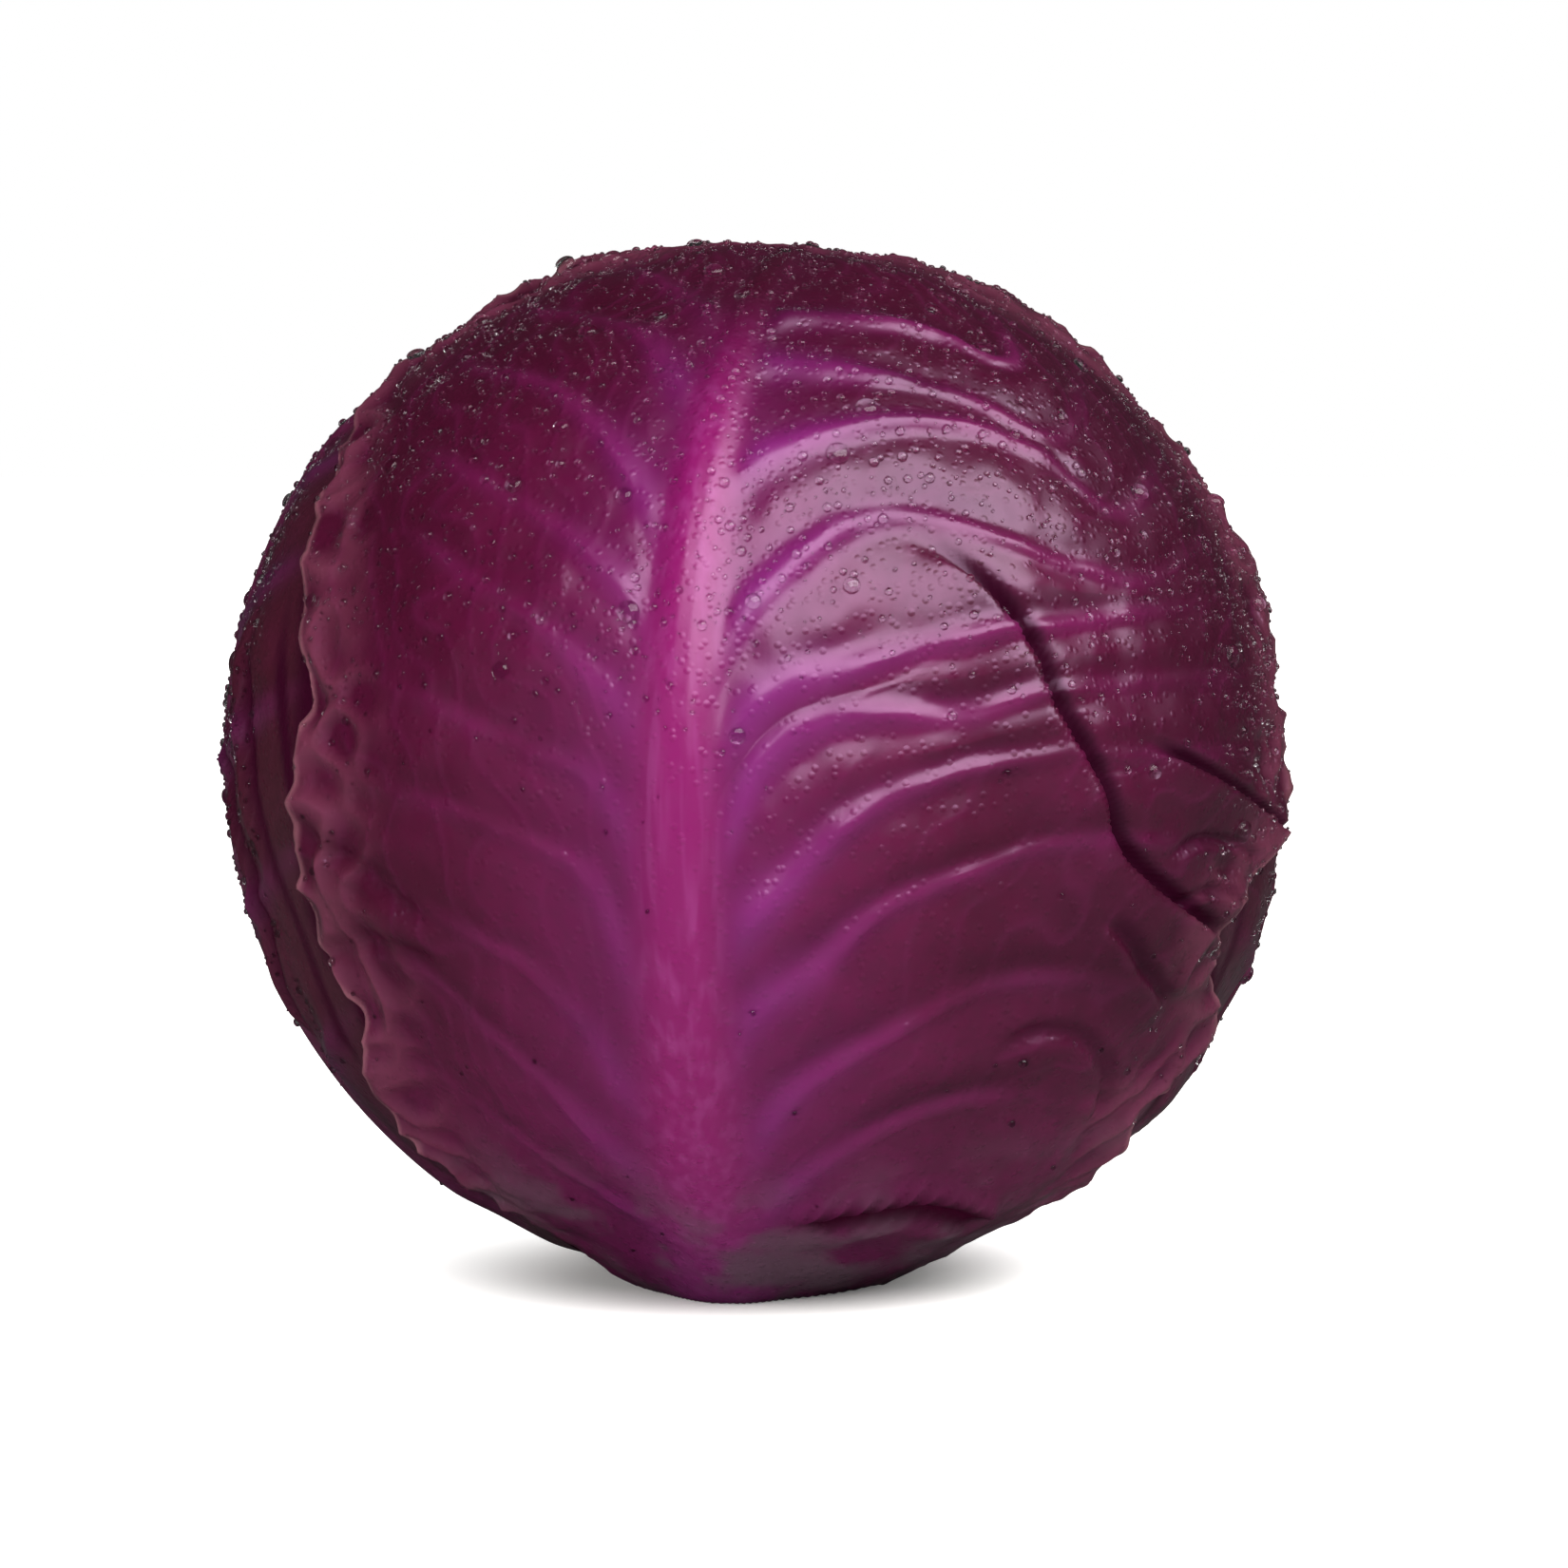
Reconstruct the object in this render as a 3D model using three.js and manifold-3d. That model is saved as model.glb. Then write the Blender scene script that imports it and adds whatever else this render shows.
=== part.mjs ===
// A head of red cabbage standing on its cut stem: a solid heart of packed inner leaves, six wrapper leaves
// that close round it one over the other, and the stem stump that they all grow from.
// Millimetres, +Z up. The origin is the middle of the stem's cut face, and the front leaf faces -Y.
import * as THREE from "three";
import { mergeVertices } from "three/addons/utils/BufferGeometryUtils.js";
import Module from "manifold-3d";

const wasm = await Module();
wasm.setup();

const DEG = Math.PI / 180;

// The head as a whole
const HEAD_RADIUS = 75; // to the outside of the wrapper leaves
const CENTRE_HEIGHT = 74.5; // the ball's centre above the cut face
const CROWN_FLATTENING = 1.6; // how much lower the crown is than a sphere
const BASE_FULLNESS = 3; // how much the thick leaf bases add below
const FLAT_FOOT = 0.3; // the outermost blade lies this high over the ground round the stem
const LEAN = 3; // the head is fuller towards +X, most of all low down
const LUMP_HEIGHT = 0.6; // broad unevenness of the packed leaves

// The stem and the heart
const STEM_RADIUS = 15;
const STEM_HEIGHT = 26;
const STEM_CHAMFER = 0.8;
const STEM_SIDES = 36;
const HEART_DETAIL = 8; // subdivisions of the icosahedron that the heart is shaped from
const CLEARANCE = 0.35; // between the stem and what grows round it
const HEART_EASE = 0.9; // the heart lies this much further in than one more leaf would

// Every wrapper leaf
const BLADE = 1.0; // thickness of the blade between its veins
const LAYER_GAP = 0.65; // free space between two leaves that lie on each other
const TUCK_WIDTH = 28; // a leaf is at full height this far outside the edge of the leaf that covers it
const RELIEF_START = 11; // relief starts this far outside a covering edge
const RELIEF_FULL = 25; // and is at full height here
const BASE_ANGLE = 88; // the midrib's foot, in degrees below the leaf's middle
const FOOT_SPREAD = 38; // half the clasping foot, as an angle about the leaf's middle
const TIP_SPREAD = 10; // half the blunt tip, likewise
const RIB_HALF_WIDTH = { foot: 14, middle: 5.5, tip: 2.5 };
const RIB_HEIGHT = { foot: 4.2, middle: 2.6, tip: 0.4 };
const RIB_PROFILE = [1, 0.82, 0.05]; // the midrib's height over its middle, its shoulder and its side
const VEIN_HEIGHT = 1.4;
const PUFF_HEIGHT = 0.6; // the blade swells this much between two veins
const PLEAT_HEIGHT = 2.2;
const PLEAT_STEP = 4; // a pleat rises over this width
const PLEAT_WIDTH = 20; // and falls back over this one
const EDGE_LIFT = 2; // most that a free margin stands off the head
const EDGE_WIDTH = 13; // how far in from the margin the lift begins
const EDGE_WAVE = [
  { degrees: 1.3, count: 9 },
  { degrees: 0.7, count: 16 },
];
const ROWS_PER_VEIN = 3;
const COLUMNS_PER_SIDE = 10;
const COLUMN_EVENNESS = 0.86; // spaces the columns evenly along a vein that bends near its root

// The leaves, from the outermost to the innermost, each 137.5 degrees on from the one that covers it.
// outline: the margin as [clockwise angle from the tip, reach from the leaf's middle], both in degrees.
// veins: where each pair of side veins leaves the midrib, in degrees above the leaf's middle.
// sweep: the smaller it is, the faster the veins' far ends climb the margin.
// rise: [sideways, along], the turn of a vein at its root, in radians.
// pleat: a fold's path over the blade as [x, y] in degrees from the leaf's middle.
const COMMON_OUTLINE = [
  [0, 97], [45, 90], [90, 80], [135, 80], [180, 90], [225, 80], [270, 80], [315, 90],
];
const COMMON_VEINS = [-63, -40, -17, 6, 29, 52, 75];
const LEAVES = [
  {
    name: "leaf_1_front",
    azimuth: -7,
    drift: 0.06,
    outline: [
      [0, 97], [40, 96], [75, 92], [93, 83], [107, 71], [119, 79], [130, 72], [141, 83], [160, 88],
      [180, 90], [193, 82], [208, 72], [217, 65], [226, 61], [235, 52], [250, 49], [263, 50], [274, 48],
      [287, 49], [298, 56], [306, 64], [320, 80], [338, 93],
    ],
    veinsRight: [-68, -52, -35, -19, -5, 12, 27, 48, 70],
    veinsLeft: [-70, -54, -40, -24, -8, 9, 27, 47, 70],
    sweepRight: 1.5,
    sweepLeft: 1,
    riseRight: [0.15, 0.36],
    riseLeft: [0.1, 0.14],
    phase: 0.4,
    pleat: [[23, 29], [29, 25], [36, 17], [39, 10], [44, 2], [48, -7], [60, -17], [68, -22]],
  },
  {
    name: "leaf_2_back_right",
    azimuth: 130.5,
    drift: -0.05,
    outline: [
      [0, 88], [30, 84], [60, 73], [82, 62], [100, 60], [118, 65], [135, 72], [158, 84],
      [180, 90], [225, 80], [270, 80], [315, 86],
    ],
    phase: 1.7,
  },
  {
    name: "leaf_3_left",
    azimuth: 268,
    drift: 0.04,
    outline: [
      [0, 90], [40, 88], [80, 82], [120, 78], [150, 84],
      [180, 90], [205, 82], [228, 70], [250, 60], [275, 58], [298, 66], [325, 80],
    ],
    phase: 3.1,
  },
  { name: "leaf_4_front_right", azimuth: 45.5, drift: 0.05, phase: 4.6 },
  { name: "leaf_5_back", azimuth: 183, drift: -0.06, phase: 5.5 },
  { name: "leaf_6_front_left", azimuth: 320.5, drift: 0.03, phase: 0.9 },
].map((leaf) => ({
  outline: COMMON_OUTLINE,
  veinsRight: COMMON_VEINS,
  veinsLeft: COMMON_VEINS,
  sweepRight: 1.3,
  sweepLeft: 1.3,
  riseRight: [0.12, 0.26],
  riseLeft: [0.12, 0.26],
  pleat: [],
  ...leaf,
  out: new THREE.Vector3(Math.sin(leaf.azimuth * DEG), -Math.cos(leaf.azimuth * DEG), 0),
  side: new THREE.Vector3(Math.cos(leaf.azimuth * DEG), Math.sin(leaf.azimuth * DEG), 0),
}));
const LAYER = BLADE + LAYER_GAP;
const CENTRE = new THREE.Vector3(0, 0, CENTRE_HEIGHT);

const COLOURS = {
  leaf: 0x5c1c3f,
  heart: 0x6d2552,
  stem: 0xd9c9c6,
};

const smoothstep = (from, to, value) => {
  const t = THREE.MathUtils.clamp((value - from) / (to - from), 0, 1);
  return t * t * (3 - 2 * t);
};

// The closed head's own outside, as a distance from its centre in a direction.
function headRadius(d) {
  const low = ((1 - d.z) / 2) ** 2;
  const lumps = Math.sin(3.1 * d.x + 2.3 * d.z + 0.5) * Math.sin(2.7 * d.y - 1.9 * d.z + 1.2);
  const round =
    HEAD_RADIUS -
    CROWN_FLATTENING * smoothstep(0.55, 1, d.z) +
    BASE_FULLNESS * smoothstep(0.86, 0.99, -d.z) +
    LEAN * d.x * low * (1 - smoothstep(0.9, 1, -d.z)) +
    LUMP_HEIGHT * lumps;
  return d.z < 0 ? Math.min(round, (CENTRE_HEIGHT - FLAT_FOOT) / -d.z) : round;
}

// The margin's reach at an angle, on a closed smooth curve through the outline's points, with its waves.
function reach(leaf, angle) {
  const points = leaf.outline;
  const n = points.length;
  const a = ((angle % 360) + 360) % 360;
  let i = n - 1;
  while (points[i][0] > a) i -= 1;
  const at = (k) => {
    const turn = Math.floor(k / n);
    const [pointAngle, pointReach] = points[k - turn * n];
    return [pointAngle + 360 * turn, pointReach];
  };
  const [p0, p1, p2, p3] = [at(i - 1), at(i), at(i + 1), at(i + 2)];
  const width = p2[0] - p1[0];
  const t = (a - p1[0]) / width;
  const slope1 = ((p2[1] - p0[1]) / (p2[0] - p0[0])) * width;
  const slope2 = ((p3[1] - p1[1]) / (p3[0] - p1[0])) * width;
  const smooth =
    p1[1] * (1 + 2 * t) * (1 - t) ** 2 +
    slope1 * t * (1 - t) ** 2 +
    p2[1] * t * t * (3 - 2 * t) -
    slope2 * t * t * (1 - t);
  const fromFoot = Math.abs(a - 180);
  const waved = smoothstep(20, 50, fromFoot);
  const wave = EDGE_WAVE.reduce(
    (sum, w, k) => sum + w.degrees * Math.sin(w.count * a * DEG + leaf.phase * (k + 1)),
    0,
  );
  return (smooth + waved * wave) * DEG;
}

// A leaf is drawn flat, in radians from its middle, x to its right and y to its tip, and wrapped on to
// the ball.
function wrap(leaf, x, y) {
  const far = Math.hypot(x, y);
  const share = far > 1e-9 ? Math.sin(far) / far : 1;
  return leaf.out
    .clone()
    .multiplyScalar(Math.cos(far))
    .addScaledVector(leaf.side, x * share)
    .add(new THREE.Vector3(0, 0, y * share));
}

// How far a direction lies outside a leaf's margin, in millimetres. It is negative inside.
function outside(leaf, d) {
  const far = Math.acos(THREE.MathUtils.clamp(d.dot(leaf.out), -1, 1));
  const angle = Math.atan2(d.dot(leaf.side), d.z) / DEG;
  return (far - reach(leaf, angle)) * HEAD_RADIUS;
}

// The outer face of leaf number k before its own relief: the head's outside, less what lies over it.
function layerRadius(k, d) {
  return LEAVES.slice(0, k).reduce(
    (radius, cover) => radius - LAYER * (1 - smoothstep(0, TUCK_WIDTH, outside(cover, d))),
    headRadius(d),
  );
}

// 1 where leaf number k lies open to the air, falling to 0 before the edge of a leaf over it.
function exposure(k, d) {
  return LEAVES.slice(0, k).reduce(
    (open, cover) => open * smoothstep(RELIEF_START, RELIEF_FULL, outside(cover, d)),
    1,
  );
}

const along = (sizes, t) =>
  t < 0.5
    ? THREE.MathUtils.lerp(sizes.foot, sizes.middle, 1 - (1 - 2 * t) ** 2)
    : THREE.MathUtils.lerp(sizes.middle, sizes.tip, 2 * t - 1);

// A point of a leaf, drawn flat. row counts the veins up the midrib, and right is the column's side.
// column runs over the midrib for the first two steps and then along the vein to the margin.
function flatPoint(leaf, row, column, right) {
  const tip = reach(leaf, 0) / DEG;
  const roots = right ? leaf.veinsRight : leaf.veinsLeft;
  const stops = [-BASE_ANGLE, ...roots, tip - 2];
  const below = Math.min(Math.floor(row), stops.length - 2);
  const sideRoot = THREE.MathUtils.lerp(stops[below], stops[below + 1], row - below);
  const other = [-BASE_ANGLE, ...(right ? leaf.veinsLeft : leaf.veinsRight), tip - 2];
  const otherRoot = THREE.MathUtils.lerp(other[below], other[below + 1], row - below);
  const root = column === 0 ? (sideRoot + otherRoot) / 2 : sideRoot;
  const y = root * DEG;
  const share = (root + BASE_ANGLE) / (tip + BASE_ANGLE);
  const ribX = leaf.drift * Math.max(0, y) ** 2;
  if (column === 0) return { x: ribX, y, share, rib: 0, vein: 0 };
  const sign = right ? 1 : -1;
  const sweep = right ? leaf.sweepRight : leaf.sweepLeft;
  const [sideways, rise] = right ? leaf.riseRight : leaf.riseLeft;
  const spread = row / (stops.length - 1);
  const climbed = (spread * (1 + sweep)) / (spread + sweep);
  const angle = THREE.MathUtils.lerp(180 - FOOT_SPREAD, TIP_SPREAD, climbed);
  const far = reach(leaf, sign * angle) * 0.995;
  const end = { x: sign * far * Math.sin(angle * DEG), y: far * Math.cos(angle * DEG) };
  const halfWidth = along(RIB_HALF_WIDTH, share) / HEAD_RADIUS;
  const flank = column === 1 ? 0.6 : 1.2;
  const climb = rise * Math.min(1, share * 4) * (1 - share ** 4);
  const turn = { x: ribX + sign * sideways, y: y + climb };
  const bezier = (t) => ({
    x: ribX * (1 - t) ** 2 + 2 * t * (1 - t) * turn.x + t * t * end.x,
    y: y * (1 - t) ** 2 + 2 * t * (1 - t) * turn.y + t * t * end.y,
  });
  let low = 0;
  let high = 1;
  const wanted = Math.min(halfWidth * flank, 0.25 * Math.abs(end.x - ribX));
  for (let step = 0; step < 24; step += 1) {
    const middle = (low + high) / 2;
    if (sign * (bezier(middle).x - ribX) < wanted) low = middle;
    else high = middle;
  }
  const lastRib = 2;
  const out = Math.max(0, (column - lastRib) / (COLUMNS_PER_SIDE - lastRib)) ** COLUMN_EVENNESS;
  const t = low + out * (1 - low);
  return { ...bezier(t), share, rib: flank, vein: t, onRib: column <= lastRib };
}

// A pleat's height at a point drawn flat: a step up on the path's right, which sinks back further off.
function pleatHeight(leaf, point) {
  const toMillimetres = HEAD_RADIUS * DEG;
  const p = new THREE.Vector2(point.x, point.y).divideScalar(DEG);
  let nearest = { distance: Infinity, height: 0 };
  for (let i = 0; i + 1 < leaf.pleat.length; i += 1) {
    const from = new THREE.Vector2(...leaf.pleat[i]);
    const step = new THREE.Vector2(...leaf.pleat[i + 1]).sub(from);
    const t = THREE.MathUtils.clamp(p.clone().sub(from).dot(step) / step.lengthSq(), 0, 1);
    const off = p.clone().sub(from).addScaledVector(step, -t);
    const distance = off.length() * toMillimetres;
    const right = -Math.sign(step.cross(off)) * distance;
    const progress = (i + t) / (leaf.pleat.length - 1);
    const rise = smoothstep(-PLEAT_STEP / 2, PLEAT_STEP / 2, right);
    const fall = 1 - smoothstep(PLEAT_STEP / 2, PLEAT_WIDTH, right);
    const height = PLEAT_HEIGHT * rise * fall * smoothstep(0, 0.35, progress);
    if (distance < nearest.distance) nearest = { distance, height };
  }
  return nearest.height;
}

// What stands up from a leaf's outer face: the midrib, the side veins, the swelling between them and the
// pleats.
function relief(leaf, point, row, column) {
  const rib = along(RIB_HEIGHT, point.share) * (RIB_PROFILE[column] ?? 0);
  const ridge = Number.isInteger(row) ? 1 : 0;
  const between = Math.sin(Math.PI * (row % 1)) ** 2;
  const fade = smoothstep(0, 0.12, point.vein) * (1 - 0.7 * smoothstep(0.3, 1, point.vein));
  const inner = row > 0 && row < leaf.veinsRight.length + 1 ? 1 : 0;
  return rib + inner * fade * (VEIN_HEIGHT * ridge + PUFF_HEIGHT * between) + pleatHeight(leaf, point);
}

// How far a leaf stands off what lies under it towards its free margin.
function marginLift(leaf, d, point, row) {
  const rim = 1 - smoothstep(0, EDGE_WIDTH, -outside(leaf, d));
  const wave = 0.55 + 0.45 * Math.sin(2.1 * row + leaf.phase * 2);
  const awayFromFoot = smoothstep(0.06, 0.25, point.share);
  return EDGE_LIFT * rim * wave * awayFromFoot;
}

// A closed geometry as a solid, with only its places kept and its shared vertices merged.
function solidFrom(geometry) {
  const bare = geometry.clone();
  bare.deleteAttribute("normal");
  bare.deleteAttribute("uv");
  const merged = mergeVertices(bare, 1e-4);
  return new wasm.Manifold(
    new wasm.Mesh({
      numProp: 3,
      vertProperties: new Float32Array(merged.attributes.position.array),
      triVerts: new Uint32Array(merged.index.array),
    }),
  );
}

// One wrapper leaf: an outer and an inner sheet split into the same triangles, closed round the margin.
function leafSolid(k) {
  const leaf = LEAVES[k];
  const rows = (leaf.veinsRight.length + 1) * ROWS_PER_VEIN + 1;
  const columns = 2 * COLUMNS_PER_SIDE + 1;
  const outer = [];
  const inner = [];
  for (let i = 0; i < rows; i += 1) {
    const row = i / ROWS_PER_VEIN;
    for (let j = 0; j < columns; j += 1) {
      const column = Math.abs(j - COLUMNS_PER_SIDE);
      const point = flatPoint(leaf, row, column, j > COLUMNS_PER_SIDE);
      const d = wrap(leaf, point.x, point.y);
      const open = exposure(k, d);
      const base = layerRadius(k, d) + open * marginLift(leaf, d, point, row);
      const top = base + open * relief(leaf, point, row, column);
      outer.push(d.clone().multiplyScalar(top).add(CENTRE));
      inner.push(d.clone().multiplyScalar(base - BLADE).add(CENTRE));
    }
  }
  const vertices = [...outer, ...inner].flatMap((v) => v.toArray());
  const triangles = [];
  const skip = outer.length;
  const quad = (a, b, c, e) => triangles.push(a, b, c, a, c, e);
  for (let i = 0; i + 1 < rows; i += 1) {
    for (let j = 0; j + 1 < columns; j += 1) {
      const low = i * columns + j;
      const high = low + columns;
      // Each half's diagonals run the short way, along its veins.
      const [a, b, c, e] =
        j < COLUMNS_PER_SIDE ? [low, low + 1, high + 1, high] : [low + 1, high + 1, high, low];
      quad(a, b, c, e);
      quad(skip + c, skip + b, skip + a, skip + e);
    }
  }
  const last = (rows - 1) * columns;
  for (let j = 0; j + 1 < columns; j += 1) {
    quad(j + 1, j, skip + j, skip + j + 1);
    quad(last + j, last + j + 1, skip + last + j + 1, skip + last + j);
  }
  for (let i = 0; i + 1 < rows; i += 1) {
    const left = i * columns;
    const right = left + columns - 1;
    quad(left, left + columns, skip + left + columns, skip + left);
    quad(right + columns, right, skip + right, skip + right + columns);
  }
  const geometry = new THREE.BufferGeometry();
  geometry.setAttribute("position", new THREE.Float32BufferAttribute(vertices, 3));
  geometry.setIndex(triangles);
  return solidFrom(geometry);
}

// The stem's outline grown by a clearance, as a lathe closed on the axis.
function stemSolid(grow) {
  const radius = STEM_RADIUS + grow;
  const foot = grow > 0 ? -5 : 0;
  const top = STEM_HEIGHT + grow;
  const profile = [
    [0, foot],
    [radius - STEM_CHAMFER, foot],
    [radius, foot + STEM_CHAMFER],
    [radius, top - STEM_CHAMFER],
    [radius - STEM_CHAMFER, top],
    [0, top],
  ].map(([x, y]) => new THREE.Vector2(x, y));
  const geometry = new THREE.LatheGeometry(profile, STEM_SIDES);
  geometry.rotateX(Math.PI / 2);
  return solidFrom(geometry);
}

// The heart: the ball of packed inner leaves under every wrapper.
function heartSolid() {
  const geometry = new THREE.IcosahedronGeometry(1, HEART_DETAIL);
  const position = geometry.attributes.position;
  for (let i = 0; i < position.count; i += 1) {
    const d = new THREE.Vector3().fromBufferAttribute(position, i).normalize();
    const radius = layerRadius(LEAVES.length, d) - HEART_EASE;
    position.setXYZ(i, d.x * radius, d.y * radius, d.z * radius + CENTRE_HEIGHT);
  }
  return solidFrom(geometry);
}

// Everything above the cut that the head stands on.
function aboveTheCut() {
  const size = 4 * HEAD_RADIUS;
  return solidFrom(new THREE.BoxGeometry(size, size, size).translate(0, 0, size / 2));
}

function meshOf(name, solid, colour, roughness) {
  const { vertProperties, triVerts } = solid.getMesh();
  const geometry = new THREE.BufferGeometry();
  geometry.setAttribute("position", new THREE.Float32BufferAttribute([...vertProperties], 3));
  geometry.setIndex([...triVerts]);
  geometry.computeVertexNormals();
  const mesh = new THREE.Mesh(
    geometry,
    new THREE.MeshStandardMaterial({ color: colour, roughness, metalness: 0 }),
  );
  mesh.name = name;
  return mesh;
}

const stemRoom = stemSolid(CLEARANCE);
const kept = aboveTheCut();
const cabbage = new THREE.Group();
cabbage.add(meshOf("stem_stump", stemSolid(0), COLOURS.stem, 0.7));
cabbage.add(meshOf("heart", heartSolid().subtract(stemRoom), COLOURS.heart, 0.5));
LEAVES.forEach((leaf, k) => {
  const solid = leafSolid(k).subtract(stemRoom).intersect(kept);
  const largest = solid.decompose().sort((a, b) => b.volume() - a.volume())[0];
  cabbage.add(meshOf(leaf.name, largest, COLOURS.leaf, 0.4));
});

export default cabbage;
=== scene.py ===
# %% [markdown]
# A head of red cabbage, wet from washing, stands on its cut stem. It is a ball of packed leaves, closed by
# broad wrapper leaves that lie one over the other. Each has a thick pale midrib, side veins, a blade that
# swells between them and a thin waved margin. This script loads the plain solids of the part as a fixed
# frame, grows a finer leaf over each of them from the same driving sizes, adds the water, and lights it.

# %% Tools and the frame
import math
import bpy
import numpy as np
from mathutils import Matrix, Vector


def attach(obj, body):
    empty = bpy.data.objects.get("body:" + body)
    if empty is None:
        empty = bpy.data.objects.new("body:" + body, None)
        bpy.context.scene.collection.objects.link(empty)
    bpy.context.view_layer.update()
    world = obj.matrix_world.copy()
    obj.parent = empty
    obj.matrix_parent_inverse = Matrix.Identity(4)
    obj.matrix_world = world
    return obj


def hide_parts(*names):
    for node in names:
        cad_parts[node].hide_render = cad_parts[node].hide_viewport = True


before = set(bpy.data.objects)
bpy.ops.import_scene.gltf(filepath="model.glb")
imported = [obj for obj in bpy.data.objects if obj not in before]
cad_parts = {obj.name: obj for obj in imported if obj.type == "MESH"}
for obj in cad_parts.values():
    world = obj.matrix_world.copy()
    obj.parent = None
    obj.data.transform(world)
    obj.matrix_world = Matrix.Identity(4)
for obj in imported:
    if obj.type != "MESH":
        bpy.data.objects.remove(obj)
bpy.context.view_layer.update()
MM = 0.001
print("solids in the frame:", ", ".join(sorted(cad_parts)))

# %% [markdown]
# The finer leaves must lie where the solids lie, so they share the solids' driving sizes: the radius of the
# closed head, the blade's thickness, the air between two leaves, and how a leaf's middle rises again once it
# comes out from under the leaf that covers it. Sizes are in metres.

# %% The head's driving sizes
HEAD_RADIUS = 75 * MM
CENTRE_HEIGHT = 74.5 * MM
CROWN_FLATTENING = 1.6 * MM
BASE_FULLNESS = 3 * MM
FLAT_FOOT = 0.3 * MM
LEAN = 3 * MM
LUMP_HEIGHT = 0.6 * MM
STEM_RADIUS = 15 * MM
STEM_HEIGHT = 26 * MM
CLEARANCE = 0.35 * MM
HEART_EASE = 0.9 * MM
BLADE = 1.0 * MM
LAYER = BLADE + 0.65 * MM
TUCK_WIDTH = 28 * MM
RELIEF_START = 11 * MM
RELIEF_FULL = 25 * MM
BASE_ANGLE = 88
FOOT_SPREAD = 38
TIP_SPREAD = 10
RIB_HALF_WIDTH = (14 * MM, 5.5 * MM, 2.5 * MM)
RIB_HEIGHT = (4.2 * MM, 2.6 * MM, 0.4 * MM)
VEIN_HEIGHT = 1.4 * MM
PUFF_HEIGHT = 0.6 * MM
EDGE_LIFT = 2 * MM
EDGE_WIDTH = 13 * MM
EDGE_WAVES = ((1.3, 9), (0.7, 16))

# %% [markdown]
# Each leaf is described flat, as if peeled off and pressed: an outline as (clockwise angle from the tip,
# reach from the leaf's middle), the heights at which side veins leave the midrib, and folds as paths across
# the blade, all in degrees as seen from the head's centre. On the real head the leaves spiral, each about
# 137.5 degrees round from the one outside it. The front leaf is the one that is looked at most, so the way
# of each of its side veins is drawn too, with the angle at which it meets the margin. Drift is how far the
# midrib bends aside, sweep how early the veins crowd to the tip, strength how clear they are on the right and
# on the left, and dry how brown and dark the skin is, partly as dry skin and partly as painted shade.

# %% The leaves
def folded(path, lip, back, width, gap, lean=0.0, shade=1.0):
    """A fold along a path. Its lip on the path's right, its back, its width, gap and lean are in mm; shade is
    how much painted shade its gap gets.
    """
    sizes = {"lip": lip, "back": back, "width": width, "gap": gap, "lean": lean}
    return {"path": path, "shade": shade, **{name: size * MM for name, size in sizes.items()}}


COMMON = {
    "outline": ((0, 97), (45, 90), (90, 80), (135, 80), (180, 90), (225, 80), (270, 80), (315, 90)),
    "roots": (-64, -46, -28, -10, 8, 26, 44, 62, 78),
    "sweep": 1.3,
    "folds": (),
    "strength": (1.0, 1.0),
    "dry": 0.35,
    "grid": (160, 136),
}
FRONT_VEINS_RIGHT = (
    (130, (9, -48), (17, -40), (26, -35.5), (36, -36), (46, -40)),
    (113, (7, -38), (13.5, -30), (25, -23.5), (36, -20.5), (50, -23)),
    (98, (5.6, -24), (14, -17), (21, -11), (32, -7), (45, -5)),
    (88, (4.2, -15), (10.8, -8), (17.6, -1.5), (25, 2), (40, 4.6)),
    (80, (4.5, -3), (8, 4), (13, 8), (20, 9.5), (30, 9.5), (42, 12)),
    (72, (4.6, 7), (10.7, 12.5), (18, 14.5), (26, 16.7), (36, 18.5)),
    (62, (3.4, 15.6), (7.7, 21.8), (16, 29), (24, 31.5), (32, 29.5), (44, 26.5), (57, 27)),
    (49, (1.9, 31.5), (6.3, 37), (16, 41.3), (25, 43.5), (33, 43.5), (41, 41), (54, 36)),
    (36, (5, 51.5), (10, 51.8), (18, 50.6), (30, 49), (46, 46)),
    (22, (8, 60), (15, 60.5), (27, 60.5), (40, 58)),
)
FRONT_VEINS_LEFT = (
    (128, (-10, -53), (-18, -46), (-27, -39), (-36, -34)),
    (113, (-11, -40), (-16, -33), (-23, -26.5), (-31, -20)),
    (99, (-7.4, -31), (-10.8, -24.5), (-16.6, -18), (-23, -14.8), (-32, -11)),
    (88, (-5.5, -16), (-9.7, -7.5), (-16, -4), (-22.5, -1.7), (-34, 0.5)),
    (76, (-4.8, -3), (-9.6, 2.9), (-15.8, 5.2), (-22.6, 8), (-34, 12)),
    (60, (-4.2, 7.8), (-10, 13.7), (-16.6, 19.3), (-24, 23.5), (-36, 30)),
    (48, (-3.1, 18.5), (-11, 26.5), (-18, 31.3), (-28, 37), (-40, 43.5)),
    (37, (-2.7, 28.8), (-8.7, 38), (-13.3, 43.3), (-21, 49.7), (-33, 55)),
    (25, (-3, 49), (-10, 58), (-20, 64), (-31, 69)),
    (14, (-4, 64), (-10, 71), (-16, 77)),
)
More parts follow.
